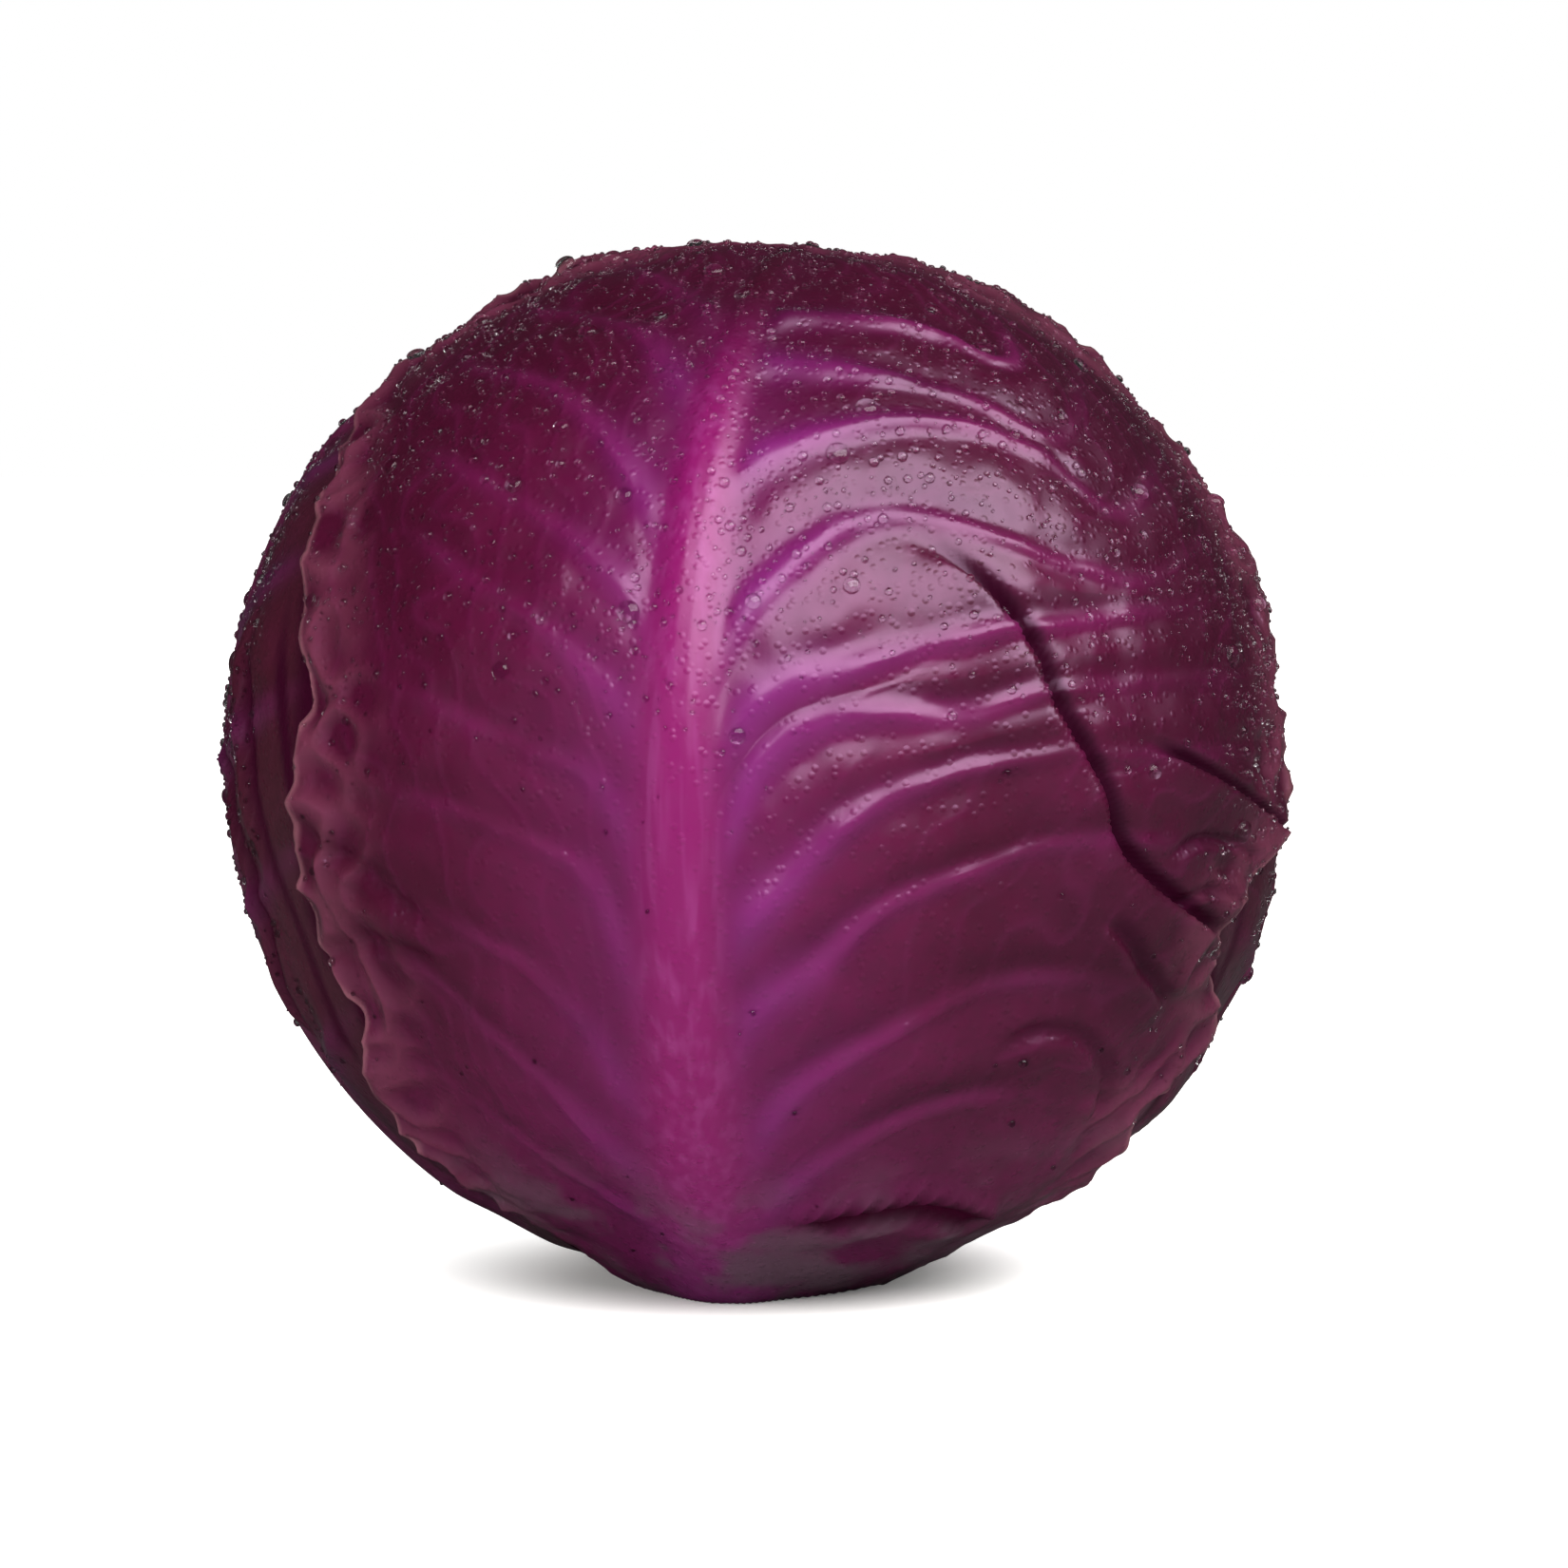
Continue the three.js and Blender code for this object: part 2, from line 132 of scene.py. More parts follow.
LEAVES = [
    {
        "node": "leaf_1_front",
        "azimuth": -7,
        "drift": 0.06,
        "outline": (
            (0, 97), (40, 96), (75, 92), (93, 83), (107, 71), (119, 79), (130, 72), (141, 83),
            (160, 88), (180, 90), (193, 82), (208, 72), (217, 65), (226, 61), (235, 52), (250, 49),
            (263, 50), (274, 48), (287, 49), (298, 56), (306, 64), (320, 80), (338, 93),
        ),
        "roots": (-63, -53, -41, -28, -14, -2, 7, 21, 44, 56),
        "veins": (FRONT_VEINS_RIGHT, FRONT_VEINS_LEFT),
        "strength": (1.0, 0.6),
        "dry": 0,
        "phase": 0.4,
        "grid": (300, 280),
        "folds": (
            folded(((23, 29), (29, 25), (36, 17), (39, 10),
                    (44, 2), (48, -7), (60, -17), (68, -22)),
                   2.4, 1.3, 16, 1.45, lean=1.4),
            folded(((51, 6), (62, 1.5), (77, -6), (87, -15)),
                   1.5, 0.9, 9, 1.1, lean=1.0, shade=0.85),
            folded(((45, -13.5), (48.7, -17.6), (52, -22), (58, -29)),
                   1.3, 0.5, 9, 1.3, shade=0.45),
            folded(((33, -30), (38.6, -27.7), (44, -29.6), (48, -36), (48, -44)),
                   0.9, 0.3, 9, 1.5, shade=0.2),
            folded(((11, -57), (17, -54.3), (26, -54.8), (34, -61)),
                   0.8, 2.5, 9, 2.9),
            folded(((54, -8.5), (61, -7), (68, -8.5), (74, -12)),
                   0.8, 0.2, 6, 1.0, shade=0.35),
            folded(((56, -15), (62, -13.5), (70, -16.5)),
                   0.7, 0.2, 6, 1.0, shade=0.3),
            folded(((-54, 1), (-45, -6.5), (-38, -9.5), (-28, -15)),
                   0.7, 0.3, 10, 1.8, shade=0.1),
            folded(((-50, -25), (-43, -20), (-36, -18), (-27, -20)),
                   0.3, 0.6, 10, 1.8, shade=0.1),
        ),
    },
    {
        "node": "leaf_2_back_right",
        "azimuth": 130.5,
        "drift": -0.05,
        "outline": (
            (0, 88), (30, 84), (60, 73), (82, 62), (100, 60), (118, 65), (135, 72), (158, 84),
            (180, 90), (225, 80), (270, 80), (315, 86),
        ),
        "phase": 1.7,
        "grid": (240, 208),
        "folds": (
            folded(((52, -40), (38, -28), (30, -12), (28, 4)),
                   1.3, 0.6, 14, 1.6, shade=0.4),
            folded(((-60, 30), (-50, 22), (-42, 8)),
                   1.2, 0.6, 10, 0.9),
            folded(((-38, -56), (-46, -42), (-53, -28), (-57, -12), (-57, 2)),
                   1.3, 0.3, 9, 1.5, shade=0.6),
            folded(((-30, -52), (-38, -36), (-42, -22), (-41, -6)),
                   0.8, 0.3, 9, 1.2, shade=0.3),
        ),
    },
    {
        "node": "leaf_3_left",
        "azimuth": 268,
        "drift": 0.04,
        "dry": 1,
        "outline": (
            (0, 90), (40, 88), (80, 82), (120, 78), (150, 84),
            (180, 90), (205, 82), (228, 70), (250, 60), (275, 58), (298, 66), (325, 80),
        ),
        "phase": 3.1,
        "grid": (240, 208),
        "folds": (
            folded(((20, 26), (26, 13), (29.5, 4), (31.5, -5), (33, -15), (33, -25), (29, -36)),
                   1.9, 0.3, 7, 1.5, shade=0.9),
            folded(((15, 24), (19, 11), (22, 0), (24, -9), (26, -18), (25, -28), (21, -38)),
                   1.6, 0.3, 6, 1.2, shade=0.7),
            folded(((8, 12), (13, 2), (17, -6), (18.5, -14), (17, -24), (12, -34)),
                   1.2, 0.3, 6, 1.0, shade=0.6),
        ),
    },
    {"node": "leaf_4_front_right", "azimuth": 45.5, "drift": 0.05, "phase": 4.6},
    {"node": "leaf_5_back", "azimuth": 183, "drift": -0.06, "phase": 5.5, "grid": (200, 168)},
    {"node": "leaf_6_front_left", "azimuth": 320.5, "drift": 0.03, "phase": 0.9},
]
LEAVES = [{**COMMON, **leaf} for leaf in LEAVES]
for leaf in LEAVES:
    a = math.radians(leaf["azimuth"])
    leaf["out"] = np.array((math.sin(a), -math.cos(a), 0.0))
    leaf["side"] = np.array((math.cos(a), math.sin(a), 0.0))
print("leaves:", len(LEAVES))


# %% [markdown]
# These are the rules of the closed head. The outermost leaf lies on a slightly flattened ball. Each leaf
# under it lies one layer further in, but only where something covers it: past the covering leaf's margin it
# rises back to the ball, which is how real wrapper leaves fill the space. Numpy works them out for a whole
# leaf at once.

# %% The rules of the closed head
def smoothstep(low, high, value):
    t = np.clip((value - low) / (high - low), 0, 1)
    return t * t * (3 - 2 * t)


def head_radius(d):
    x, y, z = d[..., 0], d[..., 1], d[..., 2]
    low = ((1 - z) / 2) ** 2
    lumps = np.sin(3.1 * x + 2.3 * z + 0.5) * np.sin(2.7 * y - 1.9 * z + 1.2)
    ball = (
        HEAD_RADIUS
        - CROWN_FLATTENING * smoothstep(0.55, 1, z)
        + BASE_FULLNESS * smoothstep(0.86, 0.99, -z)
        + LEAN * x * low * (1 - smoothstep(0.9, 1, -z))
        + LUMP_HEIGHT * lumps
    )
    ground = (CENTRE_HEIGHT - FLAT_FOOT) / np.maximum(-z, 1e-3)
    return np.minimum(ball, ground)


def reach(leaf, degrees):
    """How far the margin lies from the leaf's middle, in radians: a smooth closed curve with waves."""
    a = np.mod(degrees, 360)
    angles, values = np.array(leaf["outline"], float).T
    angles = np.concatenate((angles - 360, angles, angles + 360))
    values = np.tile(values, 3)
    i = np.searchsorted(angles, a, side="right") - 1
    width = angles[i + 1] - angles[i]
    t = (a - angles[i]) / width
    slope1 = (values[i + 1] - values[i - 1]) / (angles[i + 1] - angles[i - 1]) * width
    slope2 = (values[i + 2] - values[i]) / (angles[i + 2] - angles[i]) * width
    smooth = (
        values[i] * (1 + 2 * t) * (1 - t) ** 2
        + slope1 * t * (1 - t) ** 2
        + values[i + 1] * t * t * (3 - 2 * t)
        - slope2 * t * t * (1 - t)
    )
    waved = smoothstep(20, 50, np.abs(a - 180))
    wave = sum(
        size * np.sin(count * np.radians(a) + leaf["phase"] * (k + 1))
        for k, (size, count) in enumerate(EDGE_WAVES)
    )
    return np.radians(smooth + waved * wave)


def wrap(leaf, x, y):
    """The direction from the head's centre of a point drawn flat, in radians from the leaf's middle."""
    far = np.hypot(x, y)
    share = np.sinc(far / math.pi)
    up = np.array((0.0, 0.0, 1.0))
    return (
        np.cos(far)[..., None] * leaf["out"]
        + (x * share)[..., None] * leaf["side"]
        + (y * share)[..., None] * up
    )


def outside(leaf, d):
    """How far a direction lies outside the leaf's margin, in metres on the ball; negative inside."""
    far = np.arccos(np.clip(d @ leaf["out"], -1, 1))
    angle = np.degrees(np.arctan2(d @ leaf["side"], d[..., 2]))
    return (far - reach(leaf, angle)) * HEAD_RADIUS


def layer_radius(k, d):
    """The outer face of leaf k before its own relief."""
    radius = head_radius(d)
    for cover in LEAVES[:k]:
        radius = radius - LAYER * (1 - smoothstep(0, TUCK_WIDTH, outside(cover, d)))
    return radius


def exposure(k, d):
    """1 where leaf k lies open to the air, 0 where another leaf covers it."""
    seen = np.ones(d.shape[:-1])
    for cover in LEAVES[:k]:
        seen = seen * smoothstep(RELIEF_START, RELIEF_FULL, outside(cover, d))
    return seen


print("margin of the front leaf at its tip:", round(math.degrees(reach(LEAVES[0], 0.0)), 1), "degrees")


# %% [markdown]
# A leaf's mesh follows its veins. Each row of the grid leaves the midrib where a side vein would, bends up
# and outwards as the vein does, and ends on the margin. A ridge along a row is then a vein, and the swelling
# between two veins is a wave across the rows. A plain square grid would cut across both and blur them.

# %% A leaf's grid, drawn flat
def along(sizes, share):
    """A size given at the midrib's foot, middle and tip, read off at a share of its length."""
    foot, middle, tip = sizes
    lower = foot + (middle - foot) * (1 - (1 - 2 * share) ** 2)
    upper = middle + (tip - middle) * (2 * share - 1)
    return np.where(share < 0.5, lower, upper)


def smooth_path(points, pieces=12):
    """More points on a smooth curve through the given ones."""
    p = np.array(points, float)
    p = np.vstack((2 * p[0] - p[1], p, 2 * p[-1] - p[-2]))
    made = []
    for i in range(1, len(p) - 2):
        for t in np.linspace(0, 1, pieces, endpoint=False):
            made.append(
                0.5 * (2 * p[i] + (p[i + 1] - p[i - 1]) * t
                       + (2 * p[i - 1] - 5 * p[i] + 4 * p[i + 1] - p[i + 2]) * t**2
                       + (3 * p[i] - p[i - 1] - 3 * p[i + 1] + p[i + 2]) * t**3)
            )
    return np.array(made + [p[-2]])


STEPS = 80
MARGIN_INSET = 0.995
TIP_GAP = 2


def row_ends(leaf):
    """The angle from the tip at which each row, foot and tip row too, meets the right and left margin."""
    spread = np.arange(len(leaf["roots"]) + 2) / (len(leaf["roots"]) + 1)
    climbed = spread * (1 + leaf["sweep"]) / (spread + leaf["sweep"])
    angle = (180 - FOOT_SPREAD) + (TIP_SPREAD - 180 + FOOT_SPREAD) * climbed
    ends = [angle.copy(), angle.copy()]
    for i, veins in enumerate(leaf.get("veins", ())):
        ends[i][1:-1] = [vein[0] for vein in veins]
    return ends


def row_path(leaf, n, i, sign, end_angle):
    """The way of one row from the midrib to the margin, in degrees, at even steps."""
    roots = (-BASE_ANGLE, *leaf["roots"], math.degrees(reach(leaf, 0.0)) - TIP_GAP)
    root_y = roots[n]
    root_x = math.degrees(leaf["drift"] * max(0, math.radians(root_y)) ** 2)
    far = math.degrees(reach(leaf, sign * end_angle)) * MARGIN_INSET
    turned = math.radians(end_angle)
    end = np.array((sign * far * math.sin(turned), far * math.cos(turned)))
    start = np.array((root_x, root_y))
    if "veins" in leaf and 0 < n < len(roots) - 1:
        middle = leaf["veins"][i][n - 1][1:]
    else:
        share = (root_y + BASE_ANGLE) / (roots[-1] + BASE_ANGLE)
        turn = start + (sign * 7, 15 * min(1, share * 4) * (1 - share**4))
        shares = (0.2, 0.4, 0.6, 0.8)
        middle = [start * (1 - u) ** 2 + 2 * u * (1 - u) * turn + u * u * end for u in shares]
    path = smooth_path((start, *middle, end))
    length = np.concatenate(([0], np.cumsum(np.linalg.norm(np.diff(path, axis=0), axis=1))))
    even = np.linspace(0, length[-1], STEPS + 1)
    return np.stack([np.interp(even, length, path[:, c]) for c in (0, 1)], -1)


def flat_leaf(leaf):
    """The grid's places drawn flat in radians, the row, the share of the way to the margin and the side."""
    rows, columns = leaf["grid"]
    half = columns // 2
    last = len(leaf["roots"]) + 1
    row = np.linspace(0, last, rows + 1)
    low = np.minimum(row.astype(int), last - 1)
    part = (row - low)[:, None, None]
    t = np.linspace(0, 1, half + 1) ** 0.92
    place = np.minimum((t * STEPS).astype(int), STEPS - 1)
    within = (t * STEPS - place)[None, :, None]
    sides = []
    for i, (sign, angles) in enumerate(zip((1, -1), row_ends(leaf))):
        paths = np.array([row_path(leaf, n, i, sign, angles[n]) for n in range(last + 1)])
        ways = paths[low] * (1 - part) + paths[low + 1] * part
        angle = sign * np.interp(row, range(last + 1), angles)
        far = np.degrees(reach(leaf, angle)) * MARGIN_INSET
        margin = np.stack((far * np.sin(np.radians(angle)), far * np.cos(np.radians(angle))), -1)
        grid = ways[:, place] * (1 - within) + ways[:, place + 1] * within
        sides.append(grid + (margin - ways[:, -1])[:, None, :] * (t**4)[None, :, None])
    flat = np.radians(np.concatenate((sides[1][:, :0:-1], sides[0]), 1))
    across = np.concatenate((-t[:0:-1], t))[None, :] + 0 * row[:, None]
    return flat[..., 0], flat[..., 1], row[:, None] + 0 * across, np.abs(across), np.sign(across)


x, y, row, t, side = flat_leaf(LEAVES[0])
print("front leaf's grid:", x.shape, "places")


# %% [markdown]
# A blade has small puckers of no set pattern. They could come from a noise texture, but the solid itself has
# to carry them, so they are sums of waves in random directions. The seed makes the same leaf grow each time.

# %% Puckers and distances
def puckers(points, wavelength, seed, waves=18):
    """Soft random lumps, mostly between -1 and 1, from waves through space."""
    rng = np.random.default_rng(seed)
    total = np.zeros(points.shape[:-1])
    for _ in range(waves):
        direction = rng.normal(size=3)
        direction *= rng.uniform(0.7, 1.3) * 2 * math.pi / wavelength / np.linalg.norm(direction)
        total += np.sin(points @ direction + rng.uniform(0, 2 * math.pi))
    return total / math.sqrt(waves / 2)


def ridge(distance, half_width):
    return np.exp(-((distance / half_width) ** 2))


def grid_gaps(points, across_rows, rows, half):
    """How far apart two veins, or two ends of a row, are at each place, square to the other direction."""
    down = np.gradient(points, axis=0) * rows
    along_row = np.gradient(points, axis=1) * half
    area = np.linalg.norm(np.cross(down, along_row), axis=-1)
    return area / np.linalg.norm(along_row if across_rows else down, axis=-1)


lumps = puckers(HEAD_RADIUS * wrap(LEAVES[0], x, y), 24 * MM, 31)
print("share of the puckers between -1 and 1:", round(float((np.abs(lumps) < 1).mean()), 2))

# %% [markdown]
# Where a wrapper leaf has grown wider than the head under it, it buckles. The spare blade stands up as a lip
# on one side of a gap and leans over it, the other side swells a little, and the gap is given painted shade.
# Buckling could be simulated, but then the folds would run anywhere, so each is drawn as a path with its
# sizes.

# %% Folds
GAP_DEPTH = 0.45 * MM


def path_distance(x, y, path):
    """The distance to a path drawn flat, positive on its right, how far along it is, and the way off it."""
    points = np.radians(smooth_path(path))
    best = np.full(x.shape, np.inf)
    signed = np.zeros(x.shape)
    progress = np.zeros(x.shape)
    away = np.zeros((2, *x.shape))
    for i, (a, b) in enumerate(zip(points[:-1], points[1:])):
        step = b - a
        t = np.clip(((x - a[0]) * step[0] + (y - a[1]) * step[1]) / (step @ step), 0, 1)
        off_x = x - a[0] - t * step[0]
        off_y = y - a[1] - t * step[1]
        distance = np.hypot(off_x, off_y)
        right = np.sign(step[1] * off_x - step[0] * off_y)
        nearer = distance < best
        best = np.where(nearer, distance, best)
        signed = np.where(nearer, right * distance * HEAD_RADIUS, signed)
        progress = np.where(nearer, (i + t) / (len(points) - 1), progress)
        to_right = np.array((step[1], -step[0])) / np.hypot(*step)
        away = np.where(nearer, to_right[:, None, None], away)
    return signed, progress, away


def fold_height(x, y, fold):
    """A fold's height, the painted shade in its gap, and how far its lip leans over the gap, flat in radians.
    """
    off, progress, away = path_distance(x, y, fold["path"])
    ends = smoothstep(0, 0.22, progress) * smoothstep(1, 0.88, progress)
    gap, width = fold["gap"], fold["width"]
    rises = smoothstep(-0.3 * gap, gap, off)
    lip = fold["lip"] * rises * (1 - smoothstep(gap, width, off))
    back = fold["back"] * smoothstep(0.9 * gap, 2.6 * gap, -off) * (1 - smoothstep(2 * gap, width, -off))
    floor_of_gap = ridge(off + 0.6 * gap, 0.7 * gap)
    half_gap = (0.45 + 0.65 * ends) * gap
    # Painted shade along the fold's gap, fading towards the fold's ends.
    shade = fold["shade"] * ends**2 * np.exp(-(np.abs(off + gap) / half_gap) ** 4)
    lean = fold["lean"] * rises * (1 - smoothstep(gap, 6 * gap, off))
    return (lip + back - GAP_DEPTH * floor_of_gap) * ends, shade, -away * lean * ends / HEAD_RADIUS


pleat_height = fold_height(x, y, LEAVES[0]["folds"][0])[0]
print("the long pleat stands", round(pleat_height.max() / MM, 2), "mm high")

# %% [markdown]
# The rest of a leaf's relief follows its own parts. The midrib is a broad ridge with soft shoulders, the side
# veins are ridges that fade outwards, and the blade swells between them. Finer veins cross from one side vein
# to the next like the rungs of a ladder, and towards the margin the blade is crumpled. The same distances
# also tell the material where each part is and where painted shade goes beside the veins and towards the
# margins, so its colours fit the relief exactly.

# %% A leaf's relief
RUNGS_IN_A_ROW = 10
RUNG_WIDTH, RUNG_HEIGHT = 0.6 * MM, 0.1 * MM
LARGE_PUCKERS, LARGE_PUCKER_HEIGHT = 24 * MM, 0.22 * MM
SMALL_PUCKERS, SMALL_PUCKER_HEIGHT = 6.5 * MM, 0.075 * MM
WRINKLES, WRINKLE_HEIGHT = 10 * MM, 0.85 * MM
SWELLING = 1.35 * PUFF_HEIGHT


def leaf_relief(k, leaf, x, y, row, t, side, d):
    """Height over the plain outer face, what the material wants to know, and the shift of each place."""
    veins = len(leaf["roots"])
    tip = math.degrees(reach(leaf, 0.0))
    points = d * HEAD_RADIUS
    share = np.clip((np.degrees(y) + BASE_ANGLE) / (tip + BASE_ANGLE), 0, 1)
    strength = np.where(side > 0, leaf["strength"][0], leaf["strength"][1])
    off_rib = np.abs(x - leaf["drift"] * np.maximum(0, y) ** 2) * HEAD_RADIUS / along(RIB_HALF_WIDTH, share)
    core = 1 - smoothstep(0.15, 1.15, off_rib)
    shoulder = 1 - smoothstep(0.5, 1.9, off_rib)
    rib = 0.62 * core + 0.38 * shoulder
    free = 1 - shoulder
    vein_gap = grid_gaps(points, True, leaf["grid"][0] / (veins + 1), leaf["grid"][1] / 2)
    nearest = np.clip(np.round(row), 1, veins)
    off_vein = (row - nearest) * vein_gap
    half_width = (2.7 - 1.5 * smoothstep(0, 0.55, t)) * MM
    vein = ridge(off_vein, half_width)
    inner = smoothstep(0, 0.5, row) * smoothstep(0, 0.5, veins + 1 - row)
    fade = smoothstep(0.01, 0.1, t) * (1 - 0.7 * smoothstep(0.25, 0.8, t))
    fade = fade * (0.75 + 0.25 * smoothstep(0.2, 0.45, share))
    fade = fade * (0.9 + 0.18 * puckers(points, 17 * MM, 91 + k))
    swell_fade = smoothstep(0.05, 0.25, t) * (1 - 0.5 * smoothstep(0.6, 1, t))
    swell = np.abs(np.sin(math.pi * row)) ** 1.4 * np.minimum(1, vein_gap / (9 * MM))
    jitter = puckers(points, 16 * MM, 11 + k)
    rung = t * RUNGS_IN_A_ROW - 0.55 * np.mod(row, 1) + 0.35 * jitter
    row_length = grid_gaps(points, False, 1, leaf["grid"][1] / 2)
    off_rung = np.abs(rung - np.round(rung)) * row_length / RUNGS_IN_A_ROW
    rungs = ridge(off_rung, RUNG_WIDTH) * smoothstep(0.12, 0.3, t) * free
    inside = -outside(leaf, d)
    crumpled = (1 - smoothstep(4 * MM, 22 * MM, inside)) * smoothstep(0.05, 0.2, share)
    wrinkle = 1 - np.abs(puckers(points, WRINKLES, 71 + k))
    puckered = (
        LARGE_PUCKER_HEIGHT * puckers(points, LARGE_PUCKERS, 31 + k)
        + SMALL_PUCKER_HEIGHT * puckers(points, SMALL_PUCKERS, 51 + k)
    )
    height = (
        0.8 * along(RIB_HEIGHT, share) * rib
        + inner * strength * free * (fade * VEIN_HEIGHT * vein + swell_fade * SWELLING * swell)
        + free * RUNG_HEIGHT * rungs
        + free * puckered
        + crumpled * WRINKLE_HEIGHT * np.clip(wrinkle, -0.6, 1)
    )
    crease_shade = np.zeros(x.shape)
    shift = np.zeros((2, *x.shape))
    # Each fold adds height, a lean, and painted shade in its gap.
    for fold in leaf["folds"]:
        fold_up, fold_shade, leaning = fold_height(x, y, fold)
        height = height + fold_up
        shift = shift + leaning
        crease_shade = np.maximum(crease_shade, fold_shade)
    low = 1 - 0.9 * smoothstep(0.66, 0.82, share)
    uneven = np.clip(0.8 + 0.4 * puckers(points, 22 * MM, 97 + k), 0.2, 1.15)
    broken = inner * strength * smoothstep(0.1, 0.3, t) * uneven
    stripe = ridge(off_vein, 1.3 * half_width)
    # Painted shadow in a band beside each side vein, on its side towards the tip.
    shadow_side = ridge(off_vein - 3.2 * MM, 2.4 * MM)
    looks = {
        "rib": (1 - smoothstep(0.3, 1.5, off_rib)) * (1 - smoothstep(0.66, 0.84, share)),
        "vein": inner * strength * stripe * (1 - smoothstep(0.05, 0.5, t)) * free * low,
        "vein_end": broken * stripe * smoothstep(0.9, 0.45, t),
        "vein_shadow": broken * strength * shadow_side * smoothstep(0.95, 0.5, t),
        "rungs": rungs,
        # Painted shade in the folds' gaps.
        "crease_shade": crease_shade,
        # Painted shade: the blade darkens towards its margins.
        "outer": strength**2 * smoothstep(0.4, 0.85, t) * smoothstep(0.2, 0.4, share),
        "share": share,
        "glow": ridge(off_rib, 3.2) * (1 - core) * low,
        # Brown of dry skin, partly painted shade.
        "dry_skin_and_shade": leaf["dry"] + 0 * x,
        "worn": crumpled * np.clip(0.45 + 0.55 * wrinkle, 0, 1),
    }
    return height, looks, shift


made, told, _ = leaf_relief(0, LEAVES[0], x, y, row, t, side, wrap(LEAVES[0], x, y))
print("front leaf's relief:", round(made.max() / MM, 2), "mm; the material is told", ", ".join(told))

# %% [markdown]
# A wrapper leaf is pressed flat where another covers it, but its free margin lifts off the head in waves, and
# the last few millimetres are ruffled. The lift is added to the whole blade, so that its thickness stays.

# %% The free margin
RUFFLE_HEIGHT, RUFFLE_WIDTH = 0.4 * MM, 6 * MM
RIM_WIDTH = 2 * MM


def margin_lift(leaf, d, row, share):
    """How far a leaf stands off what lies under it, and 1 on the thin rim falling to 0 beside it."""
    inside = -outside(leaf, d)
    rim = 1 - smoothstep(0, EDGE_WIDTH, inside)
    wave = 0.6 + 0.4 * np.sin(2.1 * row + leaf["phase"] * 2)
    ruffle = RUFFLE_HEIGHT * np.sin(7.3 * row + 3 * leaf["phase"]) * (1 - smoothstep(0, RUFFLE_WIDTH, inside))
    away = smoothstep(0.06, 0.25, share)
    return away * (EDGE_LIFT * rim * wave + ruffle), 1 - smoothstep(0, RIM_WIDTH, inside)


lift, _ = margin_lift(LEAVES[0], wrap(LEAVES[0], x, y), row, told["share"])
print("front leaf's margin lifts by up to", round(lift.max() / MM, 2), "mm")

# %% [markdown]
# A leaf is a closed solid: a fine outer face, a plainer inner face one blade's thickness under it, and a rim
# that joins them. The inner face needs only one square for each four by four of the outer one, because
# nobody sees it, so the rim is made of small fans between the two spacings.

# %% A closed sheet
COARSE = 4


def closed_sheet(outer, inner):
    """Vertices and faces of a closed leaf from a fine outer grid and an inner one with fewer places."""
    rows, columns = outer.shape[0] - 1, outer.shape[1] - 1
    skip = (rows + 1) * (columns + 1)
    wide = columns // COARSE + 1
    fine = np.arange(skip).reshape(rows + 1, columns + 1)
    plain = skip + np.arange((rows // COARSE + 1) * wide).reshape(-1, wide)
    quads = np.stack((fine[:-1, :-1], fine[:-1, 1:], fine[1:, 1:], fine[1:, :-1]), -1).reshape(-1, 4)
    under = np.stack((plain[:-1, :-1], plain[1:, :-1], plain[1:, 1:], plain[:-1, 1:]), -1).reshape(-1, 4)
    fans = []
    edges = (
        (fine[0, ::-1], plain[0, ::-1]),
        (fine[-1, :], plain[-1, :]),
        (fine[:, 0], plain[:, 0]),
        (fine[::-1, -1], plain[::-1, -1]),
    )
    for near, far in edges:
        for i in range(len(far) - 1):
            a = near[i * COARSE : (i + 1) * COARSE + 1]
            half = COARSE // 2
            fans += [(a[n], a[n + 1], far[i]) for n in range(half)]
            fans += [(a[n], a[n + 1], far[i + 1]) for n in range(half, COARSE)]
            fans.append((a[half], far[i + 1], far[i]))
    vertices = np.concatenate((outer.reshape(-1, 3), inner[::COARSE, ::COARSE].reshape(-1, 3)))
    return vertices, quads.tolist() + under.tolist() + fans


def new_object(name, vertices, faces):
    mesh = bpy.data.meshes.new(name)
    mesh.from_pydata(vertices.tolist(), [], faces)
    mesh.update()
    mesh.shade_smooth()
    piece = bpy.data.objects.new(name, mesh)
    bpy.context.scene.collection.objects.link(piece)
    return piece


def triangles(piece):
    piece.data.calc_loop_triangles()
    return len(piece.data.loop_triangles)


def store(piece, name, values):
    """Keeps one number for each vertex, which a material can read by its name."""
    attribute = piece.data.attributes.new(name, "FLOAT", "POINT")
    attribute.data.foreach_set("value", np.ascontiguousarray(values, np.float32))


vertices, faces = closed_sheet(np.zeros((9, 9, 3)), np.zeros((9, 9, 3)))
print("a sheet of 8 by 8 squares has", len(vertices), "vertices and", len(faces), "faces")

# %% [markdown]
# Now each leaf is grown. Its flat grid is wrapped round the head, raised by its relief where it lies open,
# and closed with its inner face. Relief is left out under another leaf, so no two leaves can cut each other.
# The gap under a covering margin gets painted shade, because little light gets in there.

# %% Growing the leaves
THINNER_AT_EDGE = 0.4 * MM


